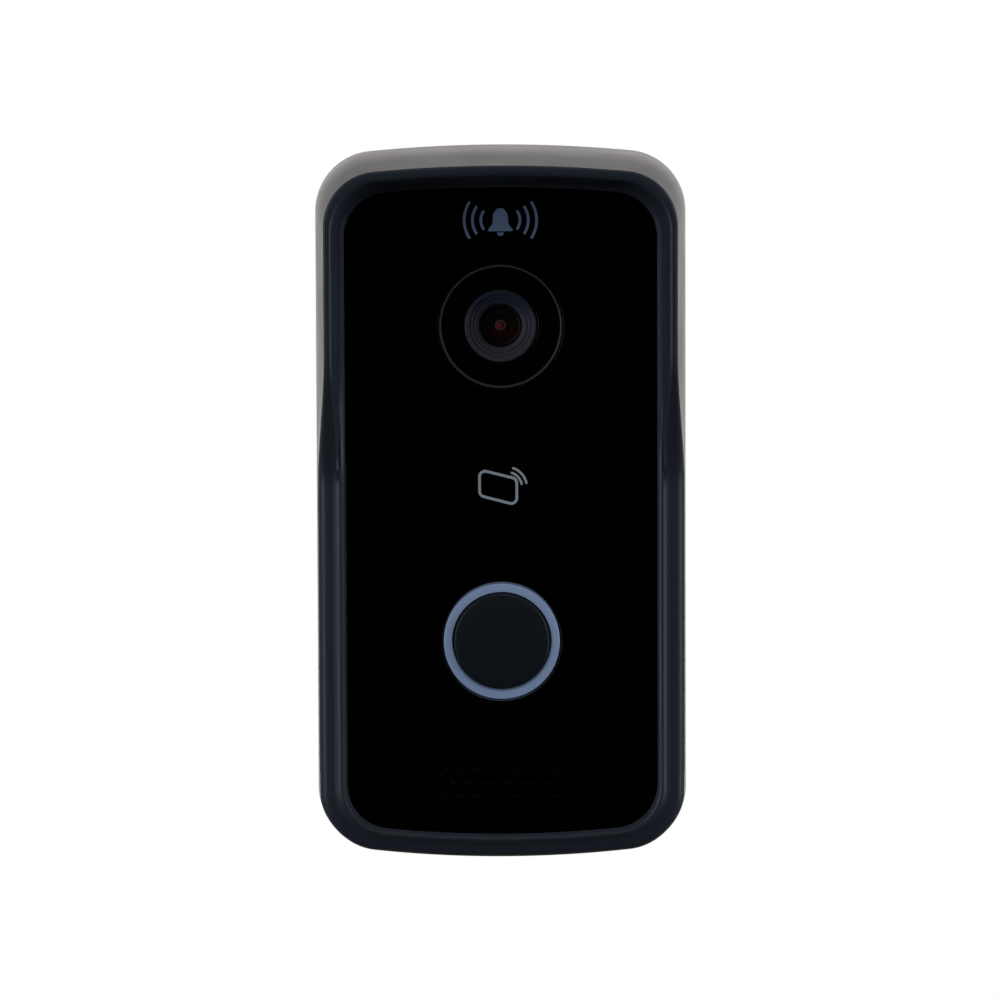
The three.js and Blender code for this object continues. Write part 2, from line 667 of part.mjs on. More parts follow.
add('call_button', callButton(), BUTTON_PLASTIC);
add('light_ring', lightRing(), DIFFUSER);
add('button_seal', buttonSeal(), SILICONE);
add('button_switch', buttonSwitch(), CHIP_BLACK);
add('switch_plunger', switchPlunger(), SILICONE);
add('button_board', disc(12.2, BUTTON_BOARD_FRONT - 1, BUTTON_BOARD_FRONT, 0, BUTTON_Z), BOARD_GREEN);
lampCircle('ring_led', RING_LED_RADIUS, 0.5, BUTTON_BOARD_FRONT + 0.02, 14.75, BUTTON_Z);

add('antenna_board', antennaBoard(), BOARD_GREEN);
add('antenna_coil', antennaCoil(), COPPER);
add('ferrite_sheet', plate(roundedRectangle(-19, 19, -7.5, 15.5, 1), 13.7, 14.15), FERRITE);

add('main_board', mainBoard(), BOARD_GREEN);
BOARD_SCREWS.forEach(([x, z], i) => {
  add(`board_screw_${i + 1}`, crossScrew(2.0, 9.1, 10.35, 0.8, 15.5, x, z), PLATED_STEEL);
});
add('processor_shield', processorShield(), SHIELD_TIN);
add('power_transformer', block(10.5, 20, BOARD_BACK - 5.6, BOARD_BACK, 2, 12), FERRITE);
CAPACITORS_X.forEach((x, i) => {
  add(`capacitor_${i + 1}`, disc(2.5, BOARD_BACK - 5.8, BOARD_BACK, x, 9, 16), SLEEVE_BLUE);
});
add('network_jack', networkJack(), SHIELD_TIN);
add('terminal_block', terminalBlock(), TERMINAL_GREEN);
add('reset_switch', block(RESET_X - 2, RESET_X + 2, 8.0, BOARD_BACK, RESET_Z - 2, RESET_Z + 2), CHIP_BLACK);
add('reset_button', disc(1.2, 4.2, 7.7, RESET_X, RESET_Z, 12), SWITCH_RED);
add('tamper_switch', block(TAMPER_X - 3, TAMPER_X + 3, 7.6, BOARD_BACK, TAMPER_Z - 3, TAMPER_Z + 3), CHIP_BLACK);
add('tamper_plunger', disc(1.7, 1.8, 6.2, TAMPER_X, TAMPER_Z, 12), SILICONE);

add('speaker_frame', speakerFrame(), CHIP_BLACK);
add('speaker_cone', speakerCone(), CONE_PAPER);
add('speaker_magnet', speakerMagnet(), PLATED_STEEL);
add('speaker_gasket', speakerGasket(), RUBBER);
add('microphone', microphone(), PLATED_STEEL);
add('microphone_boot', microphoneBoot(), RUBBER);

export default group;
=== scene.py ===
# %% [markdown]
# # A video doorbell with a rain hood
#
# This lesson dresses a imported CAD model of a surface-mounted video doorbell. The CAD frame says where every
# piece is and how it moves. Here each visible piece gets a fine mesh made by rule, and a finish made of
# nodes. Everything is in metres in Blender, but the sizes below are written in millimetres, as a maker would.

# %% The frame
import json
import math
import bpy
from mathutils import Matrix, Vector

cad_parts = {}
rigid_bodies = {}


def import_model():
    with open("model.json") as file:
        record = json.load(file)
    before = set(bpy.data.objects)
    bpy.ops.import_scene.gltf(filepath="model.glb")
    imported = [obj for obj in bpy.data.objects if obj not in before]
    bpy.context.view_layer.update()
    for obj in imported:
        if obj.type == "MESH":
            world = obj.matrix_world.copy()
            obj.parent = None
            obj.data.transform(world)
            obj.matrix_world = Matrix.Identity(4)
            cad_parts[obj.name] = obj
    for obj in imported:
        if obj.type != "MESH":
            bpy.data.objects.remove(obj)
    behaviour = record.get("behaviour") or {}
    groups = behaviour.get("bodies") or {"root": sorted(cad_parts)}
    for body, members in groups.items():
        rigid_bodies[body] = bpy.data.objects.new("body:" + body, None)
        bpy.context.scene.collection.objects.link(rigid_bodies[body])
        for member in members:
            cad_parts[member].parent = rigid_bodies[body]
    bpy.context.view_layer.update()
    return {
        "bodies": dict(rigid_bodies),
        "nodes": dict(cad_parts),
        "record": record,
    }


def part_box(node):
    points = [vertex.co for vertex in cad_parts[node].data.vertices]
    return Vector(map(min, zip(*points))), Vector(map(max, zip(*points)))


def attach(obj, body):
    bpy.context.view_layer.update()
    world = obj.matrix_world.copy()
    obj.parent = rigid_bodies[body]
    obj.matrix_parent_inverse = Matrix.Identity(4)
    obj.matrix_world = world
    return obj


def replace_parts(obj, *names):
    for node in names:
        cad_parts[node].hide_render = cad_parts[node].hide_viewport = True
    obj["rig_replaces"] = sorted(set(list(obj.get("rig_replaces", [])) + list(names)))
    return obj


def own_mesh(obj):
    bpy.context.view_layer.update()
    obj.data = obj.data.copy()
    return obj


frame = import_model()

from types import SimpleNamespace

import bmesh
import bpy
from mathutils import Matrix, Vector

MM = 0.001
print("bodies:", ", ".join(frame["bodies"]))


# %% Where a node lies
def place(node):
    """A node's box in millimetres, with depths measured forwards from the wall."""
    low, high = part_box(node)
    box = SimpleNamespace(left=low[0] / MM, right=high[0] / MM, back=-high[1] / MM, front=-low[1] / MM,
                          bottom=low[2] / MM, top=high[2] / MM)
    box.x = (box.left + box.right) / 2
    box.z = (box.bottom + box.top) / 2
    box.radius = (box.right - box.left) / 2
    return box


housing = place("front_housing")
panel = place("face_panel")
width, height = housing.right - housing.left, housing.top - housing.bottom
print(f"housing {width:.1f} x {height:.1f} x {housing.front:.1f} mm")

# %% [markdown]
# ## The camera comes first
#
# The view is almost straight at the face from a little above, through a long lens, so that the sides stay
# nearly parallel. Setting the camera before anything else lets each piece be judged as it is made.

# %% Camera
CAMERA_DISTANCE = 1.10
CAMERA_HEIGHT_ANGLE = math.radians(5.0)
CAMERA_ROLL = math.radians(-0.2)
VIEW_WIDTH = 0.1832
SENSOR_MM = 36.0
AIM = Vector((-0.00024, 0.0, -0.0001))


def add_camera():
    data = bpy.data.cameras.new("camera")
    data.sensor_width = SENSOR_MM
    data.lens = SENSOR_MM * CAMERA_DISTANCE / VIEW_WIDTH
    data.clip_start, data.clip_end = 0.05, 50
    camera = bpy.data.objects.new("camera", data)
    bpy.context.collection.objects.link(camera)
    back = Vector((0, -math.cos(CAMERA_HEIGHT_ANGLE), math.sin(CAMERA_HEIGHT_ANGLE)))
    turn = (-back).to_track_quat("-Z", "Y").to_matrix().to_4x4() @ Matrix.Rotation(CAMERA_ROLL, 4, "Z")
    camera.matrix_world = Matrix.Translation(AIM + back * CAMERA_DISTANCE) @ turn
    bpy.context.scene.camera = camera
    return data.lens


print(f"lens {add_camera():.0f} mm")

# %% [markdown]
# ## A small language for nodes
#
# Node trees read badly as long lists of links. A `Wire` stands for one output socket, and arithmetic on wires
# adds Math nodes, so a pattern can be written as a formula. A `Graph` adds any other node by its type, its
# settings, and the values or wires of its sockets. The same two classes serve materials and Geometry Nodes.


# %% Wires and graphs
class Wire:
    """An output socket that takes part in Python expressions."""

    def __init__(self, graph, socket):
        self.graph = graph
        self.socket = socket

    def math(self, operation, *others):
        inputs = dict(enumerate([self, *others]))
        return self.graph.add("ShaderNodeMath", {"operation": operation}, inputs)["Value"]

    def __add__(self, other):
        return self.math("ADD", other)

    def __sub__(self, other):
        return self.math("SUBTRACT", other)

    def __rsub__(self, other):
        return self.graph.add("ShaderNodeMath", {"operation": "SUBTRACT"}, {0: other, 1: self})["Value"]

    def __mul__(self, other):
        return self.math("MULTIPLY", other)

    def __truediv__(self, other):
        return self.math("DIVIDE", other)

    def __pow__(self, other):
        return self.math("POWER", other)

    def __gt__(self, other):
        return self.math("GREATER_THAN", other)

    __radd__ = __add__
    __rmul__ = __mul__


class Graph:
    """A node tree that is filled by calls."""

    def __init__(self, tree):
        self.tree = tree

    def add(self, kind, settings=None, inputs=None):
        node = self.tree.nodes.new(kind)
        for name, value in (settings or {}).items():
            setattr(node, name, value)
        for key, value in (inputs or {}).items():
            socket = self.find(node.inputs, key)
            if isinstance(value, Wire):
                self.tree.links.new(value.socket, socket)
            else:
                socket.default_value = value
        return Outputs(self, node)

    @staticmethod
    def find(sockets, key):
        """A socket by its number, its identifier or its name."""
        if isinstance(key, int):
            return sockets[key]
        exact = [socket for socket in sockets if socket.identifier == key]
        named = [socket for socket in sockets if socket.name == key and socket.enabled]
        return (exact or named)[0]


class Outputs:
    """What a node gives, by output name."""

    def __init__(self, graph, node):
        self.graph = graph
        self.node = node

    def __getitem__(self, key):
        return Wire(self.graph, Graph.find(self.node.outputs, key))


# %% [markdown]
# ## Finishes
#
# A moulded part is never one flat colour. Its mould was spark-eroded or sanded, so the skin has a fine
# grain, the gloss drifts a little from place to place, and handling leaves faint smears. Nearly every finish
# below is a Principled shader, whose colour and roughness, and mostly a bump too, are worked out from the
# piece's own Object coordinates.

# %% Shared parts of a finish
materials = {}


def new_material(name):
    """A material with an empty tree. It goes in the list, and its tree is given to be filled."""
    material = bpy.data.materials.new(name)
    material.use_nodes = True
    material.node_tree.nodes.clear()
    materials[name] = material
    return Graph(material.node_tree)


def noise(graph, scale, detail=3.0, stretch=(1, 1, 1)):
    """Noise between 0 and 1 on Object coordinates, with `scale` cells to the metre."""
    coordinates = graph.add("ShaderNodeTexCoord")["Object"]
    moved = graph.add("ShaderNodeMapping", {}, {"Vector": coordinates, "Scale": stretch})["Vector"]
    return graph.add("ShaderNodeTexNoise", {}, {"Vector": moved, "Scale": scale, "Detail": detail})["Fac"]


def mix_colours(graph, factor, first, second):
    inputs = {"Factor_Float": factor, "A_Color": first, "B_Color": second}
    return graph.add("ShaderNodeMix", {"data_type": "RGBA"}, inputs)["Result_Color"]


def bump(graph, height, distance_mm, strength=1.0):
    inputs = {"Height": height, "Distance": distance_mm * MM, "Strength": strength}
    return graph.add("ShaderNodeBump", {}, inputs)["Normal"]


def fade(graph, value, start, stop, first=0.0, last=1.0, interpolation="SMOOTHSTEP"):
    """Goes from the first number to the last as the value goes from start to stop."""
    inputs = {"Value": value, "From Min": start, "From Max": stop, "To Min": first, "To Max": last}
    return graph.add("ShaderNodeMapRange", {"interpolation_type": interpolation}, inputs)["Result"]


def surface(graph, shader):
    graph.add("ShaderNodeOutputMaterial", {}, {"Surface": shader})


def principled(graph, inputs):
    surface(graph, graph.add("ShaderNodeBsdfPrincipled", {}, inputs)["BSDF"])


def rgba(colour):
    return (*colour, 1.0)


def shade(colour, share):
    """The same colour, lighter or darker."""
    return tuple(min(1.0, part * share) for part in colour)


def moulded(name, colour, roughness, grain_mm=0.35, grain_depth_mm=0.004, drift=0.08, spread=0.2, **sockets):
    """Moulded skin: fine grain as bump, slow drift of gloss, and a little of both in the colour."""
    graph = new_material(name)
    grain = noise(graph, 1000 / grain_mm, 2.0)
    cloud = noise(graph, 90, 4.0)
    patch = (cloud - 0.5) * 2 * spread + (grain - 0.5) * spread
    base = mix_colours(graph, patch + 0.5, rgba(shade(colour, 1 - spread)), rgba(shade(colour, 1 + spread)))
    gloss = roughness + (cloud - 0.5) * drift * 2 + (grain - 0.5) * drift
    inputs = {"Base Color": base, "Roughness": gloss, "Normal": bump(graph, grain, grain_depth_mm)}
    principled(graph, {**inputs, **sockets})


# %% Plastics, rubbers and paper
moulded("satin_housing", (0.036, 0.041, 0.055), 0.44, 0.32, 0.003, 0.05, 0.12,
        **{"Specular IOR Level": 0.34})
moulded("satin_cover", (0.014, 0.015, 0.017), 0.52, 0.45, 0.008, 0.08, 0.15)
moulded("dark_trim", (0.065, 0.074, 0.088), 0.4, 0.4, 0.0005, 0.05, 0.08)
moulded("matte_button", (0.0135, 0.0175, 0.0235), 0.46, 0.18, 0.003, 0.05, 0.12,
        **{"Specular IOR Level": 0.25})
# The light ring's emission is a painted glow: its lamps are off, and the glow stands in for light on it.
moulded("slate_diffuser", (0.32, 0.40, 0.60), 0.38, 0.5, 0.001, 0.04, 0.05,
        **{"Emission Color": (0.045, 0.063, 0.095, 1), "Emission Strength": 1.0})
moulded("infrared_black", (0.0006, 0.0005, 0.0008), 0.09, 1.5, 0.0002, 0.04, 0.3)
moulded("moulded_epoxy", (0.012, 0.012, 0.013), 0.6, 0.12, 0.006, 0.08, 0.2)
moulded("terminal_green", (0.025, 0.19, 0.06), 0.5, 0.3, 0.005, 0.08, 0.12)
moulded("switch_red", (0.26, 0.012, 0.008), 0.45, 0.3, 0.004, 0.08, 0.12)
moulded("black_rubber", (0.012, 0.012, 0.013), 0.78, 0.22, 0.02, 0.1, 0.25)
moulded("foam_tape", (0.02, 0.02, 0.021), 0.9, 0.15, 0.03, 0.06, 0.3)
moulded("ferrite_ceramic", (0.035, 0.032, 0.03), 0.68, 0.2, 0.012, 0.12, 0.3)
moulded("capacitor_sleeve", (0.012, 0.03, 0.1), 0.3, 0.8, 0.003, 0.06, 0.15)
moulded("cone_paper", (0.022, 0.02, 0.018), 0.92, 0.5, 0.05, 0.06, 0.35)
moulded("milky_silicone", (0.42, 0.43, 0.45), 0.5, 0.3, 0.006, 0.08, 0.08, **{"Transmission Weight": 0.2})
moulded("led_epoxy", (0.8, 0.74, 0.42), 0.22, 0.6, 0.001, 0.05, 0.06)
moulded("print_slate", (0.27, 0.36, 0.56), 0.45, 0.12, 0.002, 0.08, 0.12)
moulded("print_grey", (0.54, 0.58, 0.62), 0.45, 0.12, 0.002, 0.08, 0.12)
print(len(materials), "moulded finishes")

# %% [markdown]
# Metals differ by how they were worked. Drawn and rolled sheet keeps fine lines along one direction, so its
# noise is stretched. Zinc plating has a slow mottle instead. Both change the gloss more than the colour.

# %% Metals
METAL_GRAIN_MM, METAL_GRAIN_DEPTH_MM = 0.25, 0.002
MOTTLE = 0.12


def worked_metal(name, colour, roughness, stretch=(1, 1, 1)):
    graph = new_material(name)
    lines = noise(graph, 1000 / METAL_GRAIN_MM, 3.0, stretch)
    cloud = noise(graph, 160, 5.0)
    base = mix_colours(graph, cloud, rgba(shade(colour, 1 - MOTTLE)), rgba(shade(colour, 1 + MOTTLE / 2)))
    gloss = roughness + (lines - 0.5) * 0.16 + (cloud - 0.5) * 0.14
    normal = bump(graph, lines, METAL_GRAIN_DEPTH_MM)
    principled(graph, {"Base Color": base, "Metallic": 1.0, "Roughness": gloss, "Normal": normal})


worked_metal("zinc_plate", (0.44, 0.46, 0.48), 0.38, (1, 1, 0.08))
worked_metal("black_oxide", (0.045, 0.047, 0.052), 0.42)
worked_metal("tinned_sheet", (0.6, 0.61, 0.61), 0.3, (0.1, 1, 1))
worked_metal("copper_track", (0.72, 0.32, 0.14), 0.32, (0.2, 1, 0.2))
worked_metal("gold_contact", (0.83, 0.58, 0.22), 0.25)
print(len(materials), "finishes with the metals")

# %% [markdown]
# The panel is black acrylic, polished like glass. It is only dark because it mirrors a dark room, so nearly
# everything is in its roughness: very low, with faint smears where hands have wiped it. On the circuit boards
# the solder mask rises over the copper. Two noises, one stretched along and one across, give its lanes, and a
# third chooses between them, so that the tracks turn corners. The lens is coated glass over nearly black
# elements. Their colours change with height and are painted light: the hues are painted reflections and
# glints, as a curved coating shows another colour at each slope, and the nearly black tops are painted shade
# under the hood. The barrel is likewise darker and bluer above, as painted shade with a painted reflection
# tint.

# %% Acrylic, solder mask, and the lens finishes
LANE_STRETCH, LANE_GAP = 0.012, 0.035


def panel_acrylic():
    graph = new_material("panel_acrylic")
    smear = noise(graph, 60, 5.0, (1, 1, 0.35))
    speck = noise(graph, 900, 2.0)
    base = mix_colours(graph, smear, (0.0004, 0.0004, 0.0006, 1), (0.0009, 0.0009, 0.0012, 1))
    gloss = 0.025 + (smear - 0.45) * 0.05 + (speck - 0.5) * 0.01
    principled(graph, {"Base Color": base, "Roughness": gloss, "IOR": 1.49})


def solder_mask():
    graph = new_material("solder_mask")
    along = noise(graph, 420, 0.0, (1, 1, LANE_STRETCH))
    across = noise(graph, 420, 0.0, (LANE_STRETCH, 1, 1))
    chooser = noise(graph, 28, 0.0) > 0.56
    band = along * chooser + across * (1 - chooser)
    track = (band - 0.5).math("ABSOLUTE") > LANE_GAP
    base = mix_colours(graph, track, (0.012, 0.075, 0.035, 1), (0.02, 0.14, 0.06, 1))
    gloss = 0.34 + noise(graph, 700) * 0.12
    principled(graph, {"Base Color": base, "Roughness": gloss, "Normal": bump(graph, track, 0.02, 0.5)})


def coated_glass(name, tint, ior=1.5, clear=(1, 1, 1)):
    """Thin glass: a tinted mirror over what lies behind. The mirror's share grows with the angle by Schlick's
    rule, which treats both sides of the pane alike, so that slanting light still gets in."""
    graph = new_material(name)
    haze = noise(graph, 240, 3.0)
    mirror = graph.add("ShaderNodeBsdfGlossy", {}, {"Color": rgba(tint), "Roughness": 0.01 + haze * 0.02})
    through = graph.add("ShaderNodeBsdfTransparent", {}, {"Color": rgba(clear)})
    square_on = ((ior - 1) / (ior + 1)) ** 2
    facing = graph.add("ShaderNodeLayerWeight", {}, {"Blend": 0.5})["Facing"]
    share = facing ** 5 * (1 - square_on) + square_on
    mixed = graph.add("ShaderNodeMixShader", {}, {0: share, 1: through["BSDF"], 2: mirror["BSDF"]})
    surface(graph, mixed["Shader"])


def up_the_lens(graph, start_mm, stop_mm):
    """0 to 1 between two heights above the camera's axis, in millimetres."""
    coordinates = graph.add("ShaderNodeTexCoord")["Object"]
    height = graph.add("ShaderNodeSeparateXYZ", {}, {"Vector": coordinates})["Z"]
    middle = place("camera_window").z
    return fade(graph, height, (middle + start_mm) * MM, (middle + stop_mm) * MM)


# Nearly black: painted shade on the tops of the pieces deep in the lens, under the hood.
LENS_PAINTED_SHADE = (0.0008, 0.0008, 0.0008)


def element_with_painted_light(name, low, high, coating):
    """A piece deep in the lens. One hue below its middle and another above are painted reflections and
    glints, and the nearly black top is painted shade under the hood.
    """
    graph = new_material(name)
    cloud = noise(graph, 500, 2.0)
    # Painted reflection and glints: one hue below the middle of the lens, another above.
    tone = mix_colours(graph, up_the_lens(graph, -0.9, 0.1), rgba(low), rgba(high))
    # Painted shade: nearly black towards the top, under the hood.
    base = mix_colours(graph, up_the_lens(graph, 0.5, 1.9), tone, rgba(LENS_PAINTED_SHADE))
    gloss = 0.06 + cloud * 0.03
    principled(graph, {"Base Color": base, "Roughness": gloss, "Specular Tint": rgba(coating), "IOR": 1.9})


def barrel_with_painted_shade(name, low, high):
    """Anodised metal, mauve below. The darker blue above is painted shade under the hood, tinted as a painted
    reflection of the window's coating.
    """
    graph = new_material(name)
    grain = noise(graph, 2000, 2.0)
    # Painted shade with a painted reflection tint: darker and bluer towards the top.
    base = mix_colours(graph, up_the_lens(graph, 0.5, 4.5), rgba(low), rgba(high))
    principled(graph, {"Base Color": base, "Roughness": 0.34 + grain * 0.06,
                       "Normal": bump(graph, grain, 0.0005)})


panel_acrylic()
solder_mask()
coated_glass("window_glass", (1, 1, 1), 1.42)
coated_glass("front_element", (0.5, 0.36, 0.38), 1.6, (0.9, 0.9, 0.86))
# The red, olive and straw colours below are painted highlights and reflections of the lamps in the lens.
element_with_painted_light("olive_element", (0.085, 0.006, 0.011), (0.030, 0.030, 0.019), (0.45, 0.42, 0.25))
element_with_painted_light("straw_element", (0.40, 0.33, 0.27), (0.50, 0.40, 0.34), (0.9, 0.8, 0.7))
element_with_painted_light("red_element", (0.85, 0.075, 0.13), (0.85, 0.075, 0.13), (1.0, 0.30, 0.35))
# The barrel and the baffle are darker and bluer above: painted shade under the hood, with a painted
# reflection tint.
barrel_with_painted_shade("anodised_barrel", (0.14, 0.124, 0.155), (0.05, 0.062, 0.092))
barrel_with_painted_shade("anodised_baffle", (0.17, 0.095, 0.115), (0.05, 0.062, 0.092))
print(len(materials), "finishes in all")

# %% [markdown]
# ## Meshes by rule
#
# Three helpers make nearly every piece. A profile with a rounding at each corner is turned round an axis. An
# outline with holes is cut from sheet with softened edges. And a finished mesh is settled: its doubles are
# merged, its faces are turned outwards, its sharp edges are marked, and it takes over from its CAD node. Its
# normals are weighted by face area, so that a big flat face mirrors like a flat one right up to its edge.

# %% Rounded corners
BODY_OF = {node: body for body, nodes in frame["record"]["behaviour"]["bodies"].items() for node in nodes}
SLOT_OF = {part["node"]: part["material_slot"] for part in frame["record"]["subparts"]}


def rounded(keys, steps=5, closed=True):
    """Points of a run of (a, b, radius) corners, each turned into an arc with the same number of points.
    Where two arcs want more of a side than it has, they share it in proportion to what they want. A corner
    with a radius that doesn't turn gives one point as often as the others, so that two runs stay in step."""
    points = []
    count = len(keys)
    corners = [Vector(key[:2]) for key in keys]
    sides = [(corners[i - 1] - corners[i], corners[(i + 1) % count] - corners[i]) for i in range(count)]
    halves = [before.angle(after) / 2 for before, after in sides]
    wanted = [key[2] / math.tan(half) if len(key) > 2 and (closed or 0 < i < count - 1) else 0
              for i, (key, half) in enumerate(zip(keys, halves))]
    for i, corner in enumerate(corners):
        if not wanted[i] and not (len(keys[i]) > 2 and keys[i][2]):
            points.append(tuple(corner))
            continue
        before, after = sides[i]
        half, reach = halves[i], wanted[i]
        for side, other in ((before, wanted[i - 1]), (after, wanted[(i + 1) % count])):
            if reach + other > side.length:
                reach = min(reach, 0.98 * side.length * wanted[i] / (wanted[i] + other))
        if reach < 1e-6:
            points += [tuple(corner)] * (steps + 1)
            continue
        start = corner + before.normalized() * reach
        middle = corner + (before.normalized() + after.normalized()).normalized() * (reach / math.cos(half))
        spoke = start - middle
        sweep = -spoke.angle_signed(corner + after.normalized() * reach - middle)
        for step in range(steps + 1):
            turn = sweep * step / steps
            c, s = math.cos(turn), math.sin(turn)
            points.append((middle.x + c * spoke.x - s * spoke.y, middle.y + s * spoke.x + c * spoke.y))
    return points


# %% Settling a mesh into the scene
SHARP_DEGREES = 32
pieces = {}


def linked(name, mesh):
    shape = bpy.data.objects.new(name, mesh)
    bpy.context.collection.objects.link(shape)
    return shape


def as_mesh(bm, name):
    """A plain mesh from a bmesh, which is freed."""
    mesh = bpy.data.meshes.new(name)
    bm.to_mesh(mesh)
    bm.free()
    return mesh


def evaluated(maker, *helpers):
    """The mesh that an object's modifiers make. The object and its helpers are then thrown away."""
    mesh = bpy.data.meshes.new_from_object(maker.evaluated_get(bpy.context.evaluated_depsgraph_get()))
    for shape in (maker, *helpers):
        bpy.data.objects.remove(shape)
    return mesh


def settle(name, bm, finish, nodes=(), slot=None):
    """Closes and turns a mesh outwards, then rides it on its body and hides the CAD nodes it stands for."""
    bmesh.ops.remove_doubles(bm, verts=bm.verts, dist=1e-7)
    bmesh.ops.dissolve_degenerate(bm, edges=bm.edges, dist=1e-8)
    bmesh.ops.delete(bm, geom=[edge for edge in bm.edges if not edge.link_faces], context="EDGES")
    bmesh.ops.recalc_face_normals(bm, faces=bm.faces)
    open_edges = sum(not edge.is_manifold for edge in bm.edges)
    mesh = as_mesh(bm, name)
    mesh.shade_smooth()
    mesh.set_sharp_from_angle(angle=math.radians(SHARP_DEGREES))
    mesh.materials.clear()
    mesh.materials.append(materials[finish])
    maker = linked(name + " unweighted", mesh)
    maker.modifiers.new("flat faces keep flat", "WEIGHTED_NORMAL").keep_sharp = True
    piece = linked(name, evaluated(maker))
    nodes = [nodes] if isinstance(nodes, str) else list(nodes)
    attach(piece, BODY_OF[nodes[0]] if nodes else "station")
    if nodes:
        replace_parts(piece, *nodes)
    slot or SLOT_OF[nodes[0]]
    pieces[name] = piece
    print(f"{name}: {len(piece.data.polygons)} faces, {open_edges} open edges")
    return piece


# %% Turning
def circle(x, z, radius, steps=128):
    return [(x + radius * math.cos(2 * math.pi * i / steps), z + radius * math.sin(2 * math.pi * i / steps))
            for i in range(steps)]


def arc_points(x, z, radius, start, stop, steps=24):
    angles = [math.radians(start + (stop - start) * i / steps) for i in range(steps + 1)]
    return [(x + radius * math.cos(angle), z + radius * math.sin(angle)) for angle in angles]


def turned(bm, profile, x, z, steps=96):
    """Adds a profile of (radius, depth) points, in millimetres, turned round an axis through (x, z)."""
    rings = []
    for radius, depth in profile:
        spots = circle(x, z, radius, steps if radius > 1e-6 else 1)
        rings.append([bm.verts.new((across * MM, -depth * MM, up * MM)) for across, up in spots])
    closed = len(rings[0]) > 1
    for i in range(len(rings) if closed else len(rings) - 1):
        first, second = rings[i], rings[(i + 1) % len(rings)]
        for j in range(steps):
            corners = [first[j % len(first)], first[(j + 1) % len(first)],
                       second[(j + 1) % len(second)], second[j % len(second)]]
            corners = list(dict.fromkeys(corners))
            if len(corners) > 2:
                bm.faces.new(corners)


def turned_piece(name, keys, finish, nodes, x, z, steps=96, arc=5, **options):
    bm = bmesh.new()
    closed = keys[0][0] > 0
    turned(bm, rounded(keys, arc, closed), x, z, steps)
    return settle(name, bm, finish, nodes, **options)


# %% Cutting from sheet
def box_outline(left, right, bottom, top, radius, steps=6):
    keys = [(right, bottom, radius), (right, top, radius), (left, top, radius), (left, bottom, radius)]
    return rounded(keys, steps)


def sheet_mesh(outlines, back, front, edge=0.15):
    """A plate between two depths, cut to the first outline with the others as holes, its edges rounded."""
    curve = bpy.data.curves.new("sheet", "CURVE")
    curve.dimensions, curve.fill_mode = "2D", "BOTH"
    curve.extrude = ((front - back) / 2 - edge) * MM
    curve.bevel_depth, curve.offset, curve.bevel_resolution = edge * MM, -edge * MM, 2
    for outline in outlines:
        spline = curve.splines.new("POLY")
        spline.points.add(len(outline) - 1)
        for point, (x, z) in zip(spline.points, outline):
            point.co = (x * MM, z * MM, 0, 1)
        spline.use_cyclic_u = True
    mesh = evaluated(linked("sheet", curve))
    move = Matrix.Translation((0, -(back + front) / 2 * MM, 0))
    mesh.transform(move @ Matrix.Rotation(math.pi / 2, 4, "X"))
    return mesh


def sheet_piece(name, outlines, back, front, finish, nodes=(), edge=0.15, **options):
    bm = bmesh.new()
    bm.from_mesh(sheet_mesh(outlines, back, front, edge))
    return settle(name, bm, finish, nodes, **options)


# %% [markdown]
# Some shapes are easier to add and cut than to draw. Blender's manifold boolean does that cleanly as long as
# every body and tool is closed. A fine bevel afterwards takes the knife edges off, because no moulded or
# stamped edge is truly sharp, and it is the soft edge that catches the light.

# %% Adding, cutting and softening
def closed_mesh(mesh):
    """The same mesh with its doubles merged and its faces turned outwards, as the boolean needs it."""
    bm = bmesh.new()
    bm.from_mesh(mesh)
    bmesh.ops.remove_doubles(bm, verts=bm.verts, dist=1e-7)
    bmesh.ops.recalc_face_normals(bm, faces=bm.faces)
    bm.to_mesh(mesh)
    bm.free()
    return mesh


def carved(mesh, unions=(), cuts=()):
    body = linked("body", closed_mesh(mesh))
    tools = []
    for operation, meshes in (("UNION", unions), ("DIFFERENCE", cuts)):
        for tool in meshes:
            tools.append(linked("tool", closed_mesh(tool)))
            modifier = body.modifiers.new("change", "BOOLEAN")
            modifier.operation, modifier.object, modifier.solver = operation, tools[-1], "MANIFOLD"
    return evaluated(body, *tools)


def soften(bm, width):
    """Rounds the sharp edges of a mesh by a width in millimetres."""
    bmesh.ops.remove_doubles(bm, verts=bm.verts, dist=1e-7)
    bmesh.ops.dissolve_limit(bm, angle_limit=math.radians(0.5), verts=bm.verts, edges=bm.edges)
    limit = math.radians(30)
    edges = [edge for edge in bm.edges if edge.is_manifold and edge.calc_face_angle(0) > limit]
    bmesh.ops.bevel(bm, geom=edges, offset=width * MM, offset_type="OFFSET", segments=2, profile=0.5,
                    affect="EDGES", clamp_overlap=True)


def turned_mesh(profile, x, z, steps):
    bm = bmesh.new()
    turned(bm, profile, x, z, steps)
    bmesh.ops.recalc_face_normals(bm, faces=bm.faces)
    return as_mesh(bm, "turned")


def disc(radius, back, front, x, z, steps=48):
    return turned_mesh([(0, back), (radius, back), (radius, front), (0, front)], x, z, steps)


def upright(profile, x, depth, steps=48):
    """A turned mesh that stands along Z, from (radius, height) points."""
    mesh = turned_mesh(profile, 0, 0, steps)
    mesh.transform(Matrix.Translation((x * MM, -depth * MM, 0)) @ Matrix.Rotation(-math.pi / 2, 4, "X"))
    return mesh


def upright_disc(radius, bottom, top, x, depth, steps=48):
    return upright([(0, bottom), (radius, bottom), (radius, top), (0, top)], x, depth, steps)


def block(left, right, back, front, bottom, top):
    outline = [(left, bottom), (right, bottom), (right, top), (left, top)]
    return sheet_mesh([outline], back, front, 0)


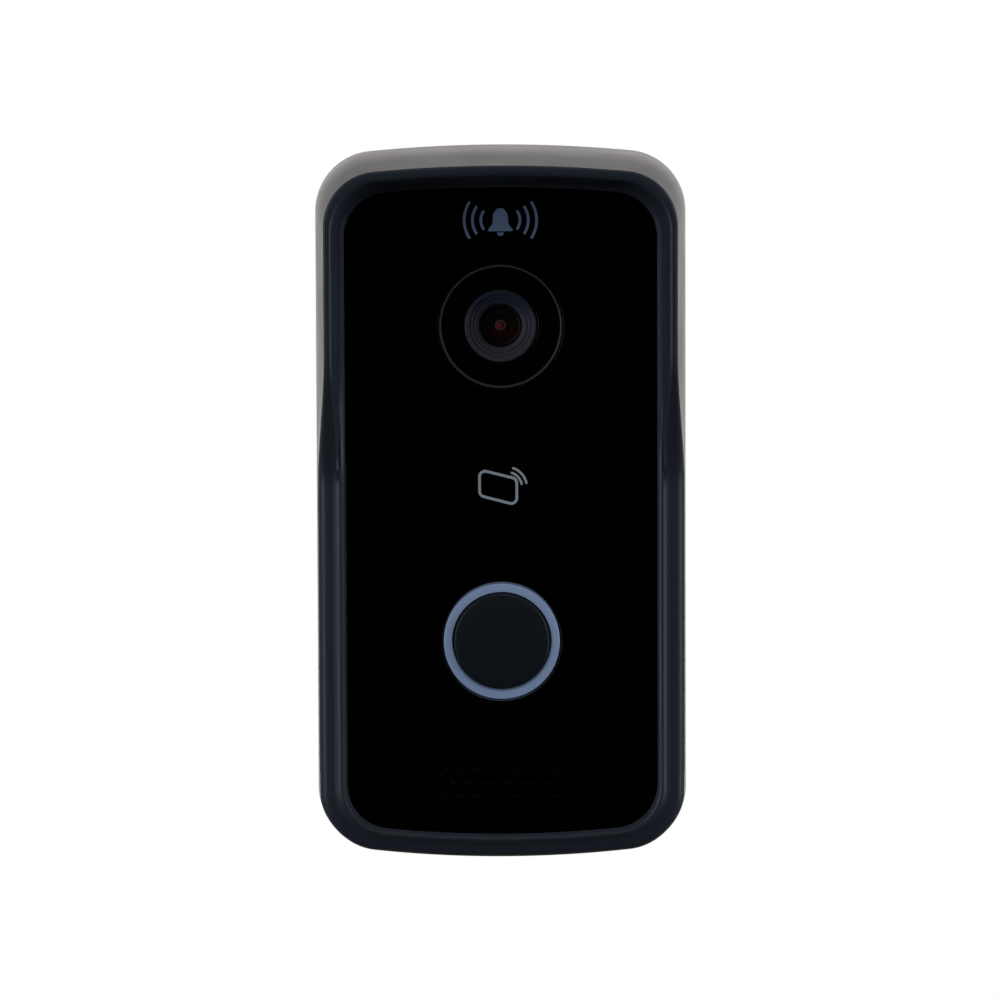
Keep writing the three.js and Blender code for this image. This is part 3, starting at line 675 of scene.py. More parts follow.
def across_mesh(outline, left, right):
    """A bar along X whose section is an outline of (depth, height) points."""
    mesh = sheet_mesh([outline], -right, -left, 0)
    mesh.transform(Matrix.Rotation(-math.pi / 2, 4, "Z"))
    return mesh


def mesh_piece(name, mesh, finish, nodes=(), soften_mm=0.0, **options):
    bm = bmesh.new()
    bm.from_mesh(mesh)
    if soften_mm:
        soften(bm, soften_mm)
    return settle(name, bm, finish, nodes, **options)


# %% [markdown]
# ## Recipes in Geometry Nodes
#
# A recipe is a node tree with named inputs for its sizes. It runs once on an empty object, and what it grew
# is kept as a plain mesh, so nothing live is left.

# %% Recipes
SOCKETS = ((int, "NodeSocketInt"), (float, "NodeSocketFloat"), (bpy.types.Object, "NodeSocketObject"),
           (bpy.types.Material, "NodeSocketMaterial"))


class Recipe(Graph):
    """A Geometry Nodes tree with a named input for each size."""

    def __init__(self, name, finish, **sizes):
        super().__init__(bpy.data.node_groups.new(name, "GeometryNodeTree"))
        self.values = {**sizes, "finish": materials[finish]}
        self.identifiers = {}
        for key, value in self.values.items():
            kind = next(kind for python, kind in SOCKETS if isinstance(value, python))
            socket = self.tree.interface.new_socket(key, in_out="INPUT", socket_type=kind)
            self.identifiers[key] = socket.identifier
        self.tree.interface.new_socket("Mesh", in_out="OUTPUT", socket_type="NodeSocketGeometry")
        self.entry = self.add("NodeGroupInput")

    def __getitem__(self, key):
        return self.entry[key]

    def mesh(self, geometry):
        """Ends the tree, runs it, and gives the result as a plain mesh."""
        real = self.add("GeometryNodeRealizeInstances", {}, {"Geometry": geometry})["Geometry"]
        dressed = self.add("GeometryNodeSetMaterial", {}, {"Geometry": real, "Material": self["finish"]})
        self.add("NodeGroupOutput", {}, {"Mesh": dressed["Geometry"]})
        maker = linked(self.tree.name, bpy.data.meshes.new("empty"))
        modifier = maker.modifiers.new("recipe", "NODES")
        modifier.node_group = self.tree
        for key, value in self.values.items():
            modifier[self.identifiers[key]] = value
        helpers = [value for value in self.values.values() if isinstance(value, bpy.types.Object)]
        return evaluated(maker, *helpers)

    def combine(self, x=0.0, y=0.0, z=0.0):
        return self.add("ShaderNodeCombineXYZ", {}, {"X": x, "Y": y, "Z": z})["Vector"]

    def repeat(self, points, master):
        """A copy of the master object's mesh at every point, unturned."""
        shape = self.add("GeometryNodeObjectInfo", {}, {"Object": master})["Geometry"]
        inputs = {"Points": points, "Instance": shape}
        return self.add("GeometryNodeInstanceOnPoints", {}, inputs)["Instances"]

    def read(self, source, number):
        """The position of one numbered point of a helper object."""
        geometry = self.add("GeometryNodeObjectInfo", {}, {"Object": source})["Geometry"]
        position = self.add("GeometryNodeInputPosition")["Position"]
        inputs = {"Geometry": geometry, "Value": position, "Index": number}
        return self.add("GeometryNodeSampleIndex", {"data_type": "FLOAT_VECTOR"}, inputs)["Value"]

    def blend(self, factor, first, second):
        settings = {"data_type": "VECTOR", "clamp_factor": False}
        inputs = {"Factor_Float": factor, "A_Vector": first, "B_Vector": second}
        return self.add("ShaderNodeMix", settings, inputs)["Result_Vector"]


def point_list(name, points):
    """A helper object of loose points, which a recipe reads by number."""
    mesh = bpy.data.meshes.new(name)
    mesh.from_pydata(points, [], [])
    return linked(name, mesh)


# %% [markdown]
# ## The bowed outline
#
# The body and the panel share one kind of outline: straight sides, round corners, and ends that bow outwards
# on a large radius. Both are drawn with the same number of points, side by side, so that any line between
# them is just a share of the way from one to the other.

# %% Outlines
BODY = SimpleNamespace(side=33.75, top=65.0, bottom=-65.0, corner=11.0, bow_top=250.0, bow_bottom=215.0)
HOLE = SimpleNamespace(side=28.1, top=57.85, bottom=-59.0, corner=8.2, bow_top=243.0, bow_bottom=208.0)
PANEL_GAP = 0.15
SIDE_LEVELS = [2 + 1.3 * i for i in range(21)] + [30, 34, 38, 42]
LOW_LEVELS = [-46, -42, -34, -26, -18, -10, -2]
CORNER_STEPS = 24
HALF_BOW_STEPS = 12


def quarter(shape, end, bow, levels):
    """Up the right side, round the corner and along the bow to the middle, for an end above the centre."""
    x = shape.side - shape.corner
    rise = math.sqrt((bow - shape.corner) ** 2 - x ** 2)
    z, joint = end - bow + rise, math.atan2(rise, x)
    points = [(shape.side, level) for level in levels]
    for i in range(CORNER_STEPS + 1):
        angle = joint * i / CORNER_STEPS
        points.append((x + shape.corner * math.cos(angle), z + shape.corner * math.sin(angle)))
    for i in range(1, HALF_BOW_STEPS + 1):
        angle = joint + (math.pi / 2 - joint) * i / HALF_BOW_STEPS
        points.append((bow * math.cos(angle), end - bow + bow * math.sin(angle)))
    return points


def bowed_outline(shape):
    upper = quarter(shape, shape.top, shape.bow_top, SIDE_LEVELS)
    lower = quarter(shape, -shape.bottom, shape.bow_bottom, [-level for level in reversed(LOW_LEVELS)])
    right = [(x, -z) for x, z in reversed(lower)] + upper
    return right + [(-x, z) for x, z in reversed(right[1:-1])]


BODY_LINE = bowed_outline(BODY)
HOLE_LINE = bowed_outline(HOLE)


def between(share):
    """The outline a share of the way from the body's edge to the panel hole."""
    return [(x + (hole_x - x) * share, z + (hole_z - z) * share)
            for (x, z), (hole_x, hole_z) in zip(BODY_LINE, HOLE_LINE)]


print(len(BODY_LINE), "points in the outline")

# %% [markdown]
# ## The housing: one frame that turns into a hood
#
# The real housing is one moulding. At the foot its frame is low, with a soft roundover, a valley and a fine
# ridge beside the panel. Going up the sides, the same frame swells forwards into a deep rain hood, and the
# underside, the keel, leans in a little more than the sides. So the shape is a loft: three sections with the
# same number of points, and smooth steps between them along the height. Geometry Nodes fit this well, because
# every point's place is one formula.

# %% The three sections
FRAME_WIDTH = BODY.side - HOLE.side
HOUSING_REAR = housing.back
HOOD_DEPTH = housing.front
HOOD_START, HOOD_FULL = 4.0, 28.0
DECK_BACK, DECK_FRONT = 15.3, 17.1
LEDGE = 4.2
KEEL_START, KEEL_FULL = -50.0, -62.0
FOOT_KEYS = [(0, HOUSING_REAR, 0.2), (0.45, 10, 60), (0.74, 18.7, 1.9), (3.4, 19.2, 1.8), (4.0, 19.42, 1.0),
             (4.75, 19.9, 0.4), (5.4, 19.55, 0.2), (FRAME_WIDTH, 19.5, 0.1)]
KEEL_KEYS = [(0, HOUSING_REAR, 0.2), (0.85, 10, 60), (1.62, 18.6, 1.6), (3.7, 19.1, 1.2), (4.15, 19.4, 0.6),
             (4.6, 20.0, 0.25), (5.2, 19.6, 0.2), (FRAME_WIDTH, 19.5, 0.1)]
HOOD_KEYS = [(0, HOUSING_REAR, 0.2), (0.55, 16, 200), (2.33, HOOD_DEPTH, 0.5), (3.0, HOOD_DEPTH, 0.2),
             (3.7, HOOD_DEPTH, 1.1), (4.9, 20.6, 0.8), (5.4, 19.55, 0.2), (FRAME_WIDTH, 19.5, 0.1)]
OVERLAP = 0.05
INSIDE_SHARES = [(1, DECK_FRONT - OVERLAP), (1.2, DECK_FRONT - OVERLAP), (1.2, DECK_BACK + OVERLAP),
                 (0.6, DECK_BACK + OVERLAP), (0.6, LEDGE), (0.34, LEDGE), (0.34, HOUSING_REAR)]


def section(keys):
    """A closed section as (share, depth) points: the outer skin, then the hidden inside."""
    inside = [(share * FRAME_WIDTH, depth) for share, depth in INSIDE_SHARES]
    points = rounded([*keys, *inside], 8)
    return [(across / FRAME_WIDTH, depth * MM, 0) for across, depth in points]


sections = {"keel": section(KEEL_KEYS), "foot": section(FOOT_KEYS), "hood": section(HOOD_KEYS)}
print({name: len(points) for name, points in sections.items()}, "points in each section")


# %% The loft
def loft_housing():
    edge = point_list("body edge", [(x * MM, 0, z * MM) for x, z in BODY_LINE])
    hole = point_list("panel hole", [(x * MM, 0, z * MM) for x, z in HOLE_LINE])
    helpers = {name: point_list(name, points) for name, points in sections.items()}
    recipe = Recipe("housing_loft", "satin_housing", edge=edge, hole=hole, **helpers,
                    around=len(BODY_LINE), across=len(sections["foot"]),
                    hood_start=HOOD_START * MM, hood_full=HOOD_FULL * MM,
                    keel_start=KEEL_START * MM, keel_full=KEEL_FULL * MM)
    row = recipe["across"] + 1
    inputs = {"Vertices X": recipe["around"] + 1, "Vertices Y": row}
    grid = recipe.add("GeometryNodeMeshGrid", {}, inputs)["Mesh"]
    number = recipe.add("GeometryNodeInputIndex")["Index"]
    station = (number / row).math("FLOOR").math("MODULO", recipe["around"])
    step = number.math("MODULO", row).math("MODULO", recipe["across"])
    outer, inner = recipe.read(recipe["edge"], station), recipe.read(recipe["hole"], station)
    height = recipe.add("ShaderNodeSeparateXYZ", {}, {"Vector": outer})["Z"]
    mixed = recipe.read(recipe["foot"], step)
    for name in ("keel", "hood"):
        share = fade(recipe, height, recipe[name + "_start"], recipe[name + "_full"])
        mixed = recipe.blend(share, mixed, recipe.read(recipe[name], step))
    parts = recipe.add("ShaderNodeSeparateXYZ", {}, {"Vector": mixed})
    flat = recipe.blend(parts["X"], outer, inner)
    forwards = recipe.combine(y=parts["Y"] * -1)
    place_at = recipe.add("ShaderNodeVectorMath", {"operation": "ADD"}, {0: flat, 1: forwards})["Vector"]
    moved = recipe.add("GeometryNodeSetPosition", {}, {"Geometry": grid, "Position": place_at})["Geometry"]
    inputs = {"Geometry": moved, "Distance": 1e-6}
    return recipe.mesh(recipe.add("GeometryNodeMergeByDistance", {}, inputs)["Geometry"])


# %% [markdown]
# The loft is only the frame. The panel rests on a deck that closes it, with openings for the camera, the call
# button and the speaker, bosses for the rear screws, posts for the board, a counterbore for the locking screw
# and a sound hole under the foot. These are added and cut in one go.

# %% The housing
camera, button = place("camera_window"), place("call_button")
SCREW_BOSSES = [(-27, 50), (27, 50), (-27, -51), (27, -51)]
BOARD_POSTS = [(-24, 14), (24, 14), (-24, -34), (24, -34)]
BOARD_FRONT = place("main_board").front
CAMERA_BORE, BUTTON_BORE, BOSS, POST = 11.9, 10.75, 3.2, 2.2
SOUND_PORT = [(0, -66), (1.1, -66), (0.8, -64.6), (0.8, -58), (0, -58)]
LOCK_BORE = [(0, -66), (3.1, -66), (3.1, -63.4), (1.75, -63.4), (1.75, -58), (0, -58)]
microphone, lock = place("microphone"), place("lock_screw")
microphone.depth = (microphone.back + microphone.front) / 2
lock.depth = (lock.back + lock.front) / 2


def build_housing():
    unions = [sheet_mesh([between(1.1)], DECK_BACK, DECK_FRONT, 0)]
    unions += [disc(BOSS, LEDGE, DECK_BACK + 0.5, x, z) for x, z in SCREW_BOSSES]
    unions += [disc(POST, BOARD_FRONT + 0.3, DECK_BACK + 0.5, x, z, 32) for x, z in BOARD_POSTS]
    cuts = [disc(1.25, LEDGE - 1, DECK_BACK - 2, x, z, 24) for x, z in SCREW_BOSSES]
    cuts += [disc(1.05, BOARD_FRONT, DECK_BACK - 0.3, x, z, 24) for x, z in BOARD_POSTS]
    cuts += [disc(CAMERA_BORE, DECK_BACK - 1, DECK_FRONT + 1, 0, camera.z, 96),
             disc(BUTTON_BORE, DECK_BACK - 1, DECK_FRONT + 1, 0, button.z, 96),
             block(-13, 13, DECK_BACK - 1, DECK_FRONT + 1, -52.8, -44.6),
             upright(SOUND_PORT, microphone.x, microphone.depth), upright(LOCK_BORE, 0, lock.depth)]
    mesh_piece("housing_and_hood", carved(loft_housing(), unions, cuts), "satin_housing", "front_housing")


build_housing()

# %% [markdown]
# ## The gloss panel and its sound holes
#
# The panel is cut from black acrylic sheet and sits just inside the frame, with a shadow gap all round. At
# its foot a field of fine holes lets the speaker through. The holes are in staggered rows, so a recipe lays a
# countersunk cutter at every place, and one boolean drills them all.

# %% Drill for the sound holes
SOUND_PITCH = 2.4
SOUND_RADIUS = 0.55
SOUND_Z = -49.2
COUNTERSINK = 0.25


def sound_hole_cutters():
    wide, above = SOUND_RADIUS + COUNTERSINK, panel.front + 0.13
    profile = [(0, panel.back - 1), (SOUND_RADIUS, panel.back - 1), (SOUND_RADIUS, panel.front - 0.12),
               (wide, above), (0, above)]
    cutter = linked("cutter", turned_mesh(profile, 0, 0, 24))
    recipe = Recipe("sound_holes", "panel_acrylic", cutter=cutter, columns=9, rows=3,
                    pitch=SOUND_PITCH * MM, centre_z=SOUND_Z * MM)
    inputs = {"Vertices X": recipe["columns"], "Vertices Y": recipe["rows"]}
    cells = recipe.add("GeometryNodeMeshGrid", {}, inputs)["Mesh"]
    number = recipe.add("GeometryNodeInputIndex")["Index"]
    column = (number / recipe["rows"]).math("FLOOR")
    row = number.math("MODULO", recipe["rows"])
    odd = row.math("MODULO", 2.0)
    across = (column - (recipe["columns"] - 1) * 0.5 + odd * 0.5) * recipe["pitch"]
    up = (row - (recipe["rows"] - 1) * 0.5) * recipe["pitch"] + recipe["centre_z"]
    inputs = {"Geometry": cells, "Position": recipe.combine(across, 0.0, up)}
    moved = recipe.add("GeometryNodeSetPosition", {}, inputs)["Geometry"]
    spare = odd * (column > recipe["columns"] - 1.5)
    kept = recipe.add("GeometryNodeDeleteGeometry", {}, {"Geometry": moved, "Selection": spare})["Geometry"]
    return recipe.mesh(recipe.repeat(kept, recipe["cutter"]))


# %% The panel
def build_panel():
    gap = PANEL_GAP
    inset = SimpleNamespace(side=HOLE.side - gap, top=HOLE.top - gap, bottom=HOLE.bottom + gap,
                            corner=HOLE.corner - gap, bow_top=HOLE.bow_top, bow_bottom=HOLE.bow_bottom)
    holes = [circle(0, camera.z, 11.35), circle(0, button.z, 10.8)]
    sheet = sheet_mesh([bowed_outline(inset), *holes], panel.back, panel.front, 0.06)
    mesh_piece("gloss_panel", carved(sheet, cuts=[sound_hole_cutters()]), "panel_acrylic", "face_panel")


build_panel()
tape_hole = box_outline(-24.2, 24.2, -54.6, 54.2, 5)
tape = place("panel_tape")
sheet_piece("panel_tape_frame", [between(1.04), tape_hole], tape.back, tape.front, "foam_tape",
            "panel_tape", 0.05)

# %% [markdown]
# ## The camera
#
# Behind a round window with a thin trim ring sits the lens: a dark anodised barrel with fine steps that trap
# stray light, a domed front element with a rosy coating, and smaller elements deeper down. Every part is
# round, so each is a profile turned on the lathe helper, with a small rounding where a tool would leave one.

# %% Trim ring, window and barrel
window_ring, window = place("window_ring"), place("camera_window")
turned_piece("camera_trim_ring", [(10.73, window_ring.back), (11.08, window_ring.back),
                                  (11.08, window_ring.front, 0.12), (10.73, window_ring.front, 0.12)],
             "dark_trim", "window_ring", 0, camera.z, 160)
turned_piece("camera_window_glass", [(0, window.back), (10.6, window.back), (10.6, window.front, 0.1),
                                     (0, window.front)], "window_glass", "camera_window", 0, camera.z, 128)
infrared = place("infrared_filter")
turned_piece("infrared_filter_ring", [(6.75, infrared.back, 0.05), (11.5, infrared.back, 0.05),
                                      (11.5, infrared.front, 0.1), (6.75, infrared.front, 0.1)],
             "infrared_black", "infrared_filter", 0, camera.z, 128)
BARREL_KEYS = [(3.85, 16.7, 0.05), (4.0, 17.02, 0.05), (4.32, 17.02, 0.04), (4.36, 17.2, 0.04),
               (4.8, 17.2, 0.04), (4.84, 17.1, 0.03), (4.95, 17.1, 0.03), (4.99, 17.32, 0.04),
               (5.45, 17.32, 0.04), (5.5, 17.24, 0.03), (5.62, 17.24, 0.03), (5.68, 17.5, 0.06),
               (6.5, 17.5, 0.22), (6.5, 14.8, 0.1), (5.6, 14.4, 0.1), (5.6, 9.2, 0.1),
               (3.6, 9.2, 0.1), (3.6, 13.2, 0.1), (3.85, 13.6, 0.05)]
turned_piece("lens_barrel_steps", BARREL_KEYS, "anodised_barrel", "lens_barrel", 0, camera.z, 160, 4)


# %% Lens elements
DOME_STEPS = 14


def dome(radius, edge, crown):
    """The arc of a lens from its edge to its pole, as (radius, depth) points."""
    rise = crown - edge
    ball = (radius ** 2 + rise ** 2) / (2 * rise)
    limit = math.asin(radius / ball)
    angles = [limit * (1 - i / DOME_STEPS) for i in range(DOME_STEPS)]
    arc = [(ball * math.sin(angle), crown - ball + ball * math.cos(angle)) for angle in angles]
    return [*arc, (0, crown)]


def lens(name, radius, back, edge, crown, finish, nodes=(), hollow=0.0, slot=None):
    """A domed lens with a flat back, or with one that is hollowed by a depth at its middle."""
    rear = [(0, back)]
    if hollow:
        rear = [(0, back + hollow), *reversed(dome(radius * 0.92, back, back + hollow)[:-1])]
    bm = bmesh.new()
    turned(bm, [*rear, (radius, back), *dome(radius, edge, crown)], 0, camera.z, 96)
    return settle(name, bm, finish, nodes, slot)


lens("front_lens_element", 3.65, 15.75, 15.95, 16.9, "front_element", "front_lens", 0.5)
lens("rear_lens_element", 3.3, 14.65, 14.75, 15.5, "olive_element", slot="lens_glass")
IRIS_RIDGE, IRIS_ROUND, IRIS_BACK = 0.30, 0.28, 15.3
iris_arc = arc_points(IRIS_RIDGE, 15.65, IRIS_ROUND, 0, 144, 12)
iris_keys = [(0, IRIS_BACK), (IRIS_RIDGE + IRIS_ROUND, IRIS_BACK), *iris_arc, (0, iris_arc[-1][1])]
turned_piece("iris_lens_element", iris_keys, "red_element", (), 0, camera.z, 96, slot="lens_glass")
turned_piece("iris_retainer", [(0.64, IRIS_BACK), (1.02, IRIS_BACK), (0.98, 15.6, 0.06), (0.83, 15.78, 0.1),
                               (0.67, 15.6, 0.06)],
             "straw_element", (), 0, camera.z, 96, slot="lens_glass")
turned_piece("lens_baffle", [(3.3, 14.65), (3.6, 14.65), (3.6, 15.6, 0.1), (3.42, 15.6, 0.06),
                             (3.34, 15.0, 0.05)],
             "anodised_baffle", (), 0, camera.z, 128, slot="lens_black")


# %% [markdown]
# ## The call button
#
# The button is a matte cap inside a light ring. The ring is milky plastic with four small lamps behind it,
# and by day it reads as plain slate blue. The cap has a very slight crown and a soft shoulder. Behind it a
# rubber seal keeps the rain out and gives as the button is pressed.

# %% Cap, ring and seal
ring, seal = place("light_ring"), place("button_seal")
CAP_RADIUS = 8.6
CAP_KEYS = [(0, 16.25), (2.2, 16.25, 0.05), (2.2, 16.6, 0.05), (7.0, 16.6, 0.05), (7.0, 15.9, 0.05),
            (9.5, 15.9, 0.1), (9.5, 16.5, 0.1), (CAP_RADIUS, 16.5, 0.05), (CAP_RADIUS, 20.12, 0.4),
            (7.0, button.front - 0.03, 0.5), (0, button.front)]
turned_piece("call_button_cap", CAP_KEYS, "matte_button", "call_button", 0, button.z, 160)
turned_piece("call_light_ring", [(8.97, 16.85), (9.8, 16.85), (9.8, ring.back), (10.45, ring.back),
                                 (10.45, ring.front, 0.22), (8.97, ring.front, 0.12)],
             "slate_diffuser", "light_ring", 0, button.z, 160)
SEAL_KEYS = [(4.6, seal.back), (9.0, seal.back), (9.0, 14.6, 0.1), (7.6, 14.6, 0.3), (8.4, 15.5, 0.2),
             (9.0, 15.55, 0.05), (9.0, seal.front, 0.05), (7.9, seal.front, 0.3), (6.9, 14.75, 0.4),
             (4.6, 14.55, 0.1)]
bellows = turned_piece("button_bellows", SEAL_KEYS, "milky_silicone", "button_seal", 0, button.z, 128)
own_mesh(bellows)

# %% [markdown]
# ## Printed marks
#
# Two marks are screen printed on the panel in a film of ink: a card with radio waves where a key card is
# read, and a plain bell with sound waves at the head. The lines are strokes of even width with round ends,
# and the bell is a filled outline.


# %% Strokes of ink
INK = 0.03


def stroke(points, width, closed=False):
    """The outline or outlines of a pen stroke of even width along points."""
    half = width / 2
    count = len(points)
    normals = []
    for i in range(count):
        a = Vector(points[i - 1]) if closed or i else Vector(points[0])
        b = Vector(points[(i + 1) % count]) if closed or i < count - 1 else Vector(points[-1])
        along = (b - a).normalized()
        normals.append(Vector((-along.y, along.x)))
    left = [tuple(Vector(p) + n * half) for p, n in zip(points, normals)]
    right = [tuple(Vector(p) - n * half) for p, n in zip(points, normals)]
    if closed:
        return [left, right]
    caps = []
    for tip, normal in ((points[-1], normals[-1]), (points[0], -normals[0])):
        start = math.atan2(normal.y, normal.x)
        turns = [start - math.pi * k / 8 for k in range(1, 8)]
        caps.append([(tip[0] + half * math.cos(turn), tip[1] + half * math.sin(turn)) for turn in turns])
    return [left + caps[0] + right[::-1] + caps[1]]


def inked(name, strokes, finish, slot):
    """One piece of print from several strokes, each a list of outlines."""
    bm = bmesh.new()
    for outlines in strokes:
        bm.from_mesh(sheet_mesh(outlines, panel.front - 0.005, panel.front + INK, 0))
    return settle(name, bm, finish, slot=slot)


# %% The card and the bell
CARD_Z = 3.9
CARD_KEYS = [(-3.91, 3.19, 1.0), (2.79, 1.52, 1.0), (2.79, -3.23, 1.0), (-3.91, -1.49, 1.0)]
card_line = [(x, z + CARD_Z) for x, z in rounded(CARD_KEYS, 8)]
waves = [stroke(arc_points(1.0, CARD_Z + 0.04, radius, 12, 71), 0.42) for radius in (2.72, 3.58)]
inked("card_symbol", [stroke(card_line, 0.49, closed=True), *waves], "print_grey", "light_diffuser")
BELL_Z = 51.75


def bell_outline():
    """Half a bell by its side, mirrored: crown, waist and flared lip."""
    side = rounded([(0.0, 2.35), (0.55, 2.3, 0.4), (1.3, 1.35, 0.9), (1.45, -0.6, 1.5), (2.25, -1.5, 0.35),
                    (2.2, -1.8, 0.2), (0.0, -1.8)], 6, closed=False)
    return [(x, z + BELL_Z) for x, z in side] + [(-x, z + BELL_Z) for x, z in reversed(side[1:-1])]


clapper = arc_points(0, BELL_Z - 2.02, 0.62, 180, 360, 16)
rings = [stroke(arc_points(side * 0.6, BELL_Z + 0.2, radius, middle - 32, middle + 32), 0.5)
         for side, middle in ((1, 0), (-1, 180)) for radius in (2.9, 4.4, 5.9)]
inked("bell_symbol", [[bell_outline()], [clapper], *rings], "print_slate", "light_diffuser")


# %% [markdown]
# ## The rear: cover, gasket and screws
#
# From behind, the open housing is closed by a moulded cover with a rim, pockets for the bracket's hooks and
# a window for the wires. It is a plate with blocks added and pockets cut, and then every edge is softened.

# %% Rear cover
cover, gasket = place("rear_cover"), place("rear_gasket")
COVER_FRONT = 3.6
WIRING = SimpleNamespace(left=-19, right=19, bottom=-37, top=-12)
HOOKS_X = (-16.5, 16.5)
GROOVES, GROOVE_PITCH = 7, 5
reset, tamper = place("reset_button"), place("tamper_plunger")


def build_rear_cover():
    hollow = sheet_mesh([between(0.9)], 2.5, 7, 0)
    rim = carved(sheet_mesh([between(0.66)], COVER_FRONT - 0.5, 6.4, 0), cuts=[hollow])
    unions = [rim, block(-7, 7, COVER_FRONT - 0.5, cover.front, -60.3, -55)]
    cuts = [block(-5.6, 5.6, 1, 9.2, -62, -56.2),
            block(WIRING.left, WIRING.right, 0, 8, WIRING.bottom, WIRING.top),
            disc(2.1, 0, 8, reset.x, reset.z), disc(2.4, 0, 8, tamper.x, tamper.z)]
    for x in HOOKS_X:
        unions.append(block(x - 6.8, x + 6.8, COVER_FRONT - 0.5, 6.8, 42.8, 56.4))
        cuts += [block(x - 5.5, x + 5.5, 1, COVER_FRONT + 0.01, 44, 50.8),
                 block(x - 5.5, x + 5.5, COVER_FRONT - 0.01, 5.6, 44, 55.2)]
    for x, z in SCREW_BOSSES:
        cuts += [disc(4.0, LEDGE - 0.6, 8, x, z), disc(1.7, 0, 5, x, z, 32), disc(3.1, 0, 2.6, x, z)]
    for i in range(GROOVES):
        left = -22 + GROOVE_PITCH * i
        cuts.append(block(left, left + GROOVE_PITCH / 2, 1.5, 2.35, 18.5, 29.5))
    mesh = carved(sheet_mesh([between(0.39)], cover.back, COVER_FRONT, 0), unions, cuts)
    mesh_piece("rear_cover_moulding", mesh, "satin_cover", "rear_cover", 0.12)


build_rear_cover()
sheet_piece("rear_gasket_cord", [between(0.41), between(0.605)], gasket.back, gasket.front, "black_rubber",
            "rear_gasket", 0.2)

# %% [markdown]
# ## Screws
#
# All the small screws are one shape at different sizes: a pan head with a cross recess and a threaded shank,
# whose thread is a close row of ridges. Geometry Nodes lay one master on every screw's place, and give each
# its own turn, as a driver leaves them.

# %% A cross-recess screw
def screw_mesh(head_radius, head_back, head_front, shank_radius, tip):
    """A screw along depth, head towards the wall, at the origin."""
    crown = 0.25 * head_radius
    keys = [(0, head_back), (head_radius, head_back, crown), (head_radius, head_front, 0.05),
            (shank_radius, head_front, 0.05)]
    pitch, depth = 0.5, shank_radius * 0.13
    turns = int((tip - head_front - 0.6) / pitch)
    for i in range(turns):
        level = head_front + 0.3 + i * pitch
        keys += [(shank_radius - depth, level, 0), (shank_radius, level + pitch / 2, 0)]
    keys += [(shank_radius - depth, tip - 0.3, 0), (shank_radius * 0.5, tip, 0), (0, tip, 0)]
    slot, reach = head_radius * 0.12, head_radius * 0.52
    deep = (head_front - head_back) * 0.6
    cuts = [block(-reach, reach, head_back - 1, head_back + deep, -slot, slot),
            block(-slot, slot, head_back - 1, head_back + deep, -reach, reach)]
    return carved(turned_mesh(rounded(keys, 4, closed=False), 0, 0, 40), cuts=cuts)


def lay_screws(name, finish, mesh, nodes):
    """Screws of one size at the places of their CAD nodes, each its own piece."""
    for i, node in enumerate(nodes):
        at = place(node)
        master = linked("master", mesh.copy())
        spots = point_list("spots", [(at.x * MM, 0, at.z * MM)])
        recipe = Recipe(f"{name}_{i + 1}_place", finish, spots=spots, master=master, turn=0.4 + 0.7 * i)
        points = recipe.add("GeometryNodeObjectInfo", {}, {"Object": recipe["spots"]})["Geometry"]
        shape = recipe.add("GeometryNodeObjectInfo", {}, {"Object": recipe["master"]})["Geometry"]
        turn = recipe.combine(y=recipe["turn"])
        inputs = {"Points": points, "Instance": shape, "Rotation": turn}
        laid = recipe.mesh(recipe.add("GeometryNodeInstanceOnPoints", {}, inputs)["Instances"])
        mesh_piece(f"{name}_{i + 1}", laid, finish, node)


# Name, node, number, head radius, head height and shank radius.
SCREWS = [("rear_cover_screw", "rear_screw", 4, 2.7, 0.85, 1.05),
          ("main_board_screw", "board_screw", 2, 2.0, 1.25, 0.9),
          ("camera_board_screw", "camera_screw", 2, 1.3, 0.6, 0.65)]
for name, node, count, head_radius, head_height, shank_radius in SCREWS:
    screw = place(f"{node}_1")
    master = screw_mesh(head_radius, screw.back, screw.back + head_height, shank_radius, screw.front)
    lay_screws(name, "zinc_plate", master, [f"{node}_{i + 1}" for i in range(count)])

# %% [markdown]
# ## The wall bracket, its locking screw and the grommet
#
# The bracket is pressed from sheet steel: a plate with slots for the wall screws, two hooks at the top that
# the cover hangs on, and a tab at the foot for the locking screw. Pressed steel has a small rounded edge all
# over. Stiffening beads are pressed along both sides.

# %% Bracket
BRACKET_THICK = 1.6
WALL_SLOTS = [(0, 40), (-12, 10), (12, 10), (0, -47)]
BEADS_X = (-20.9, 20.9)
bracket = place("wall_bracket")


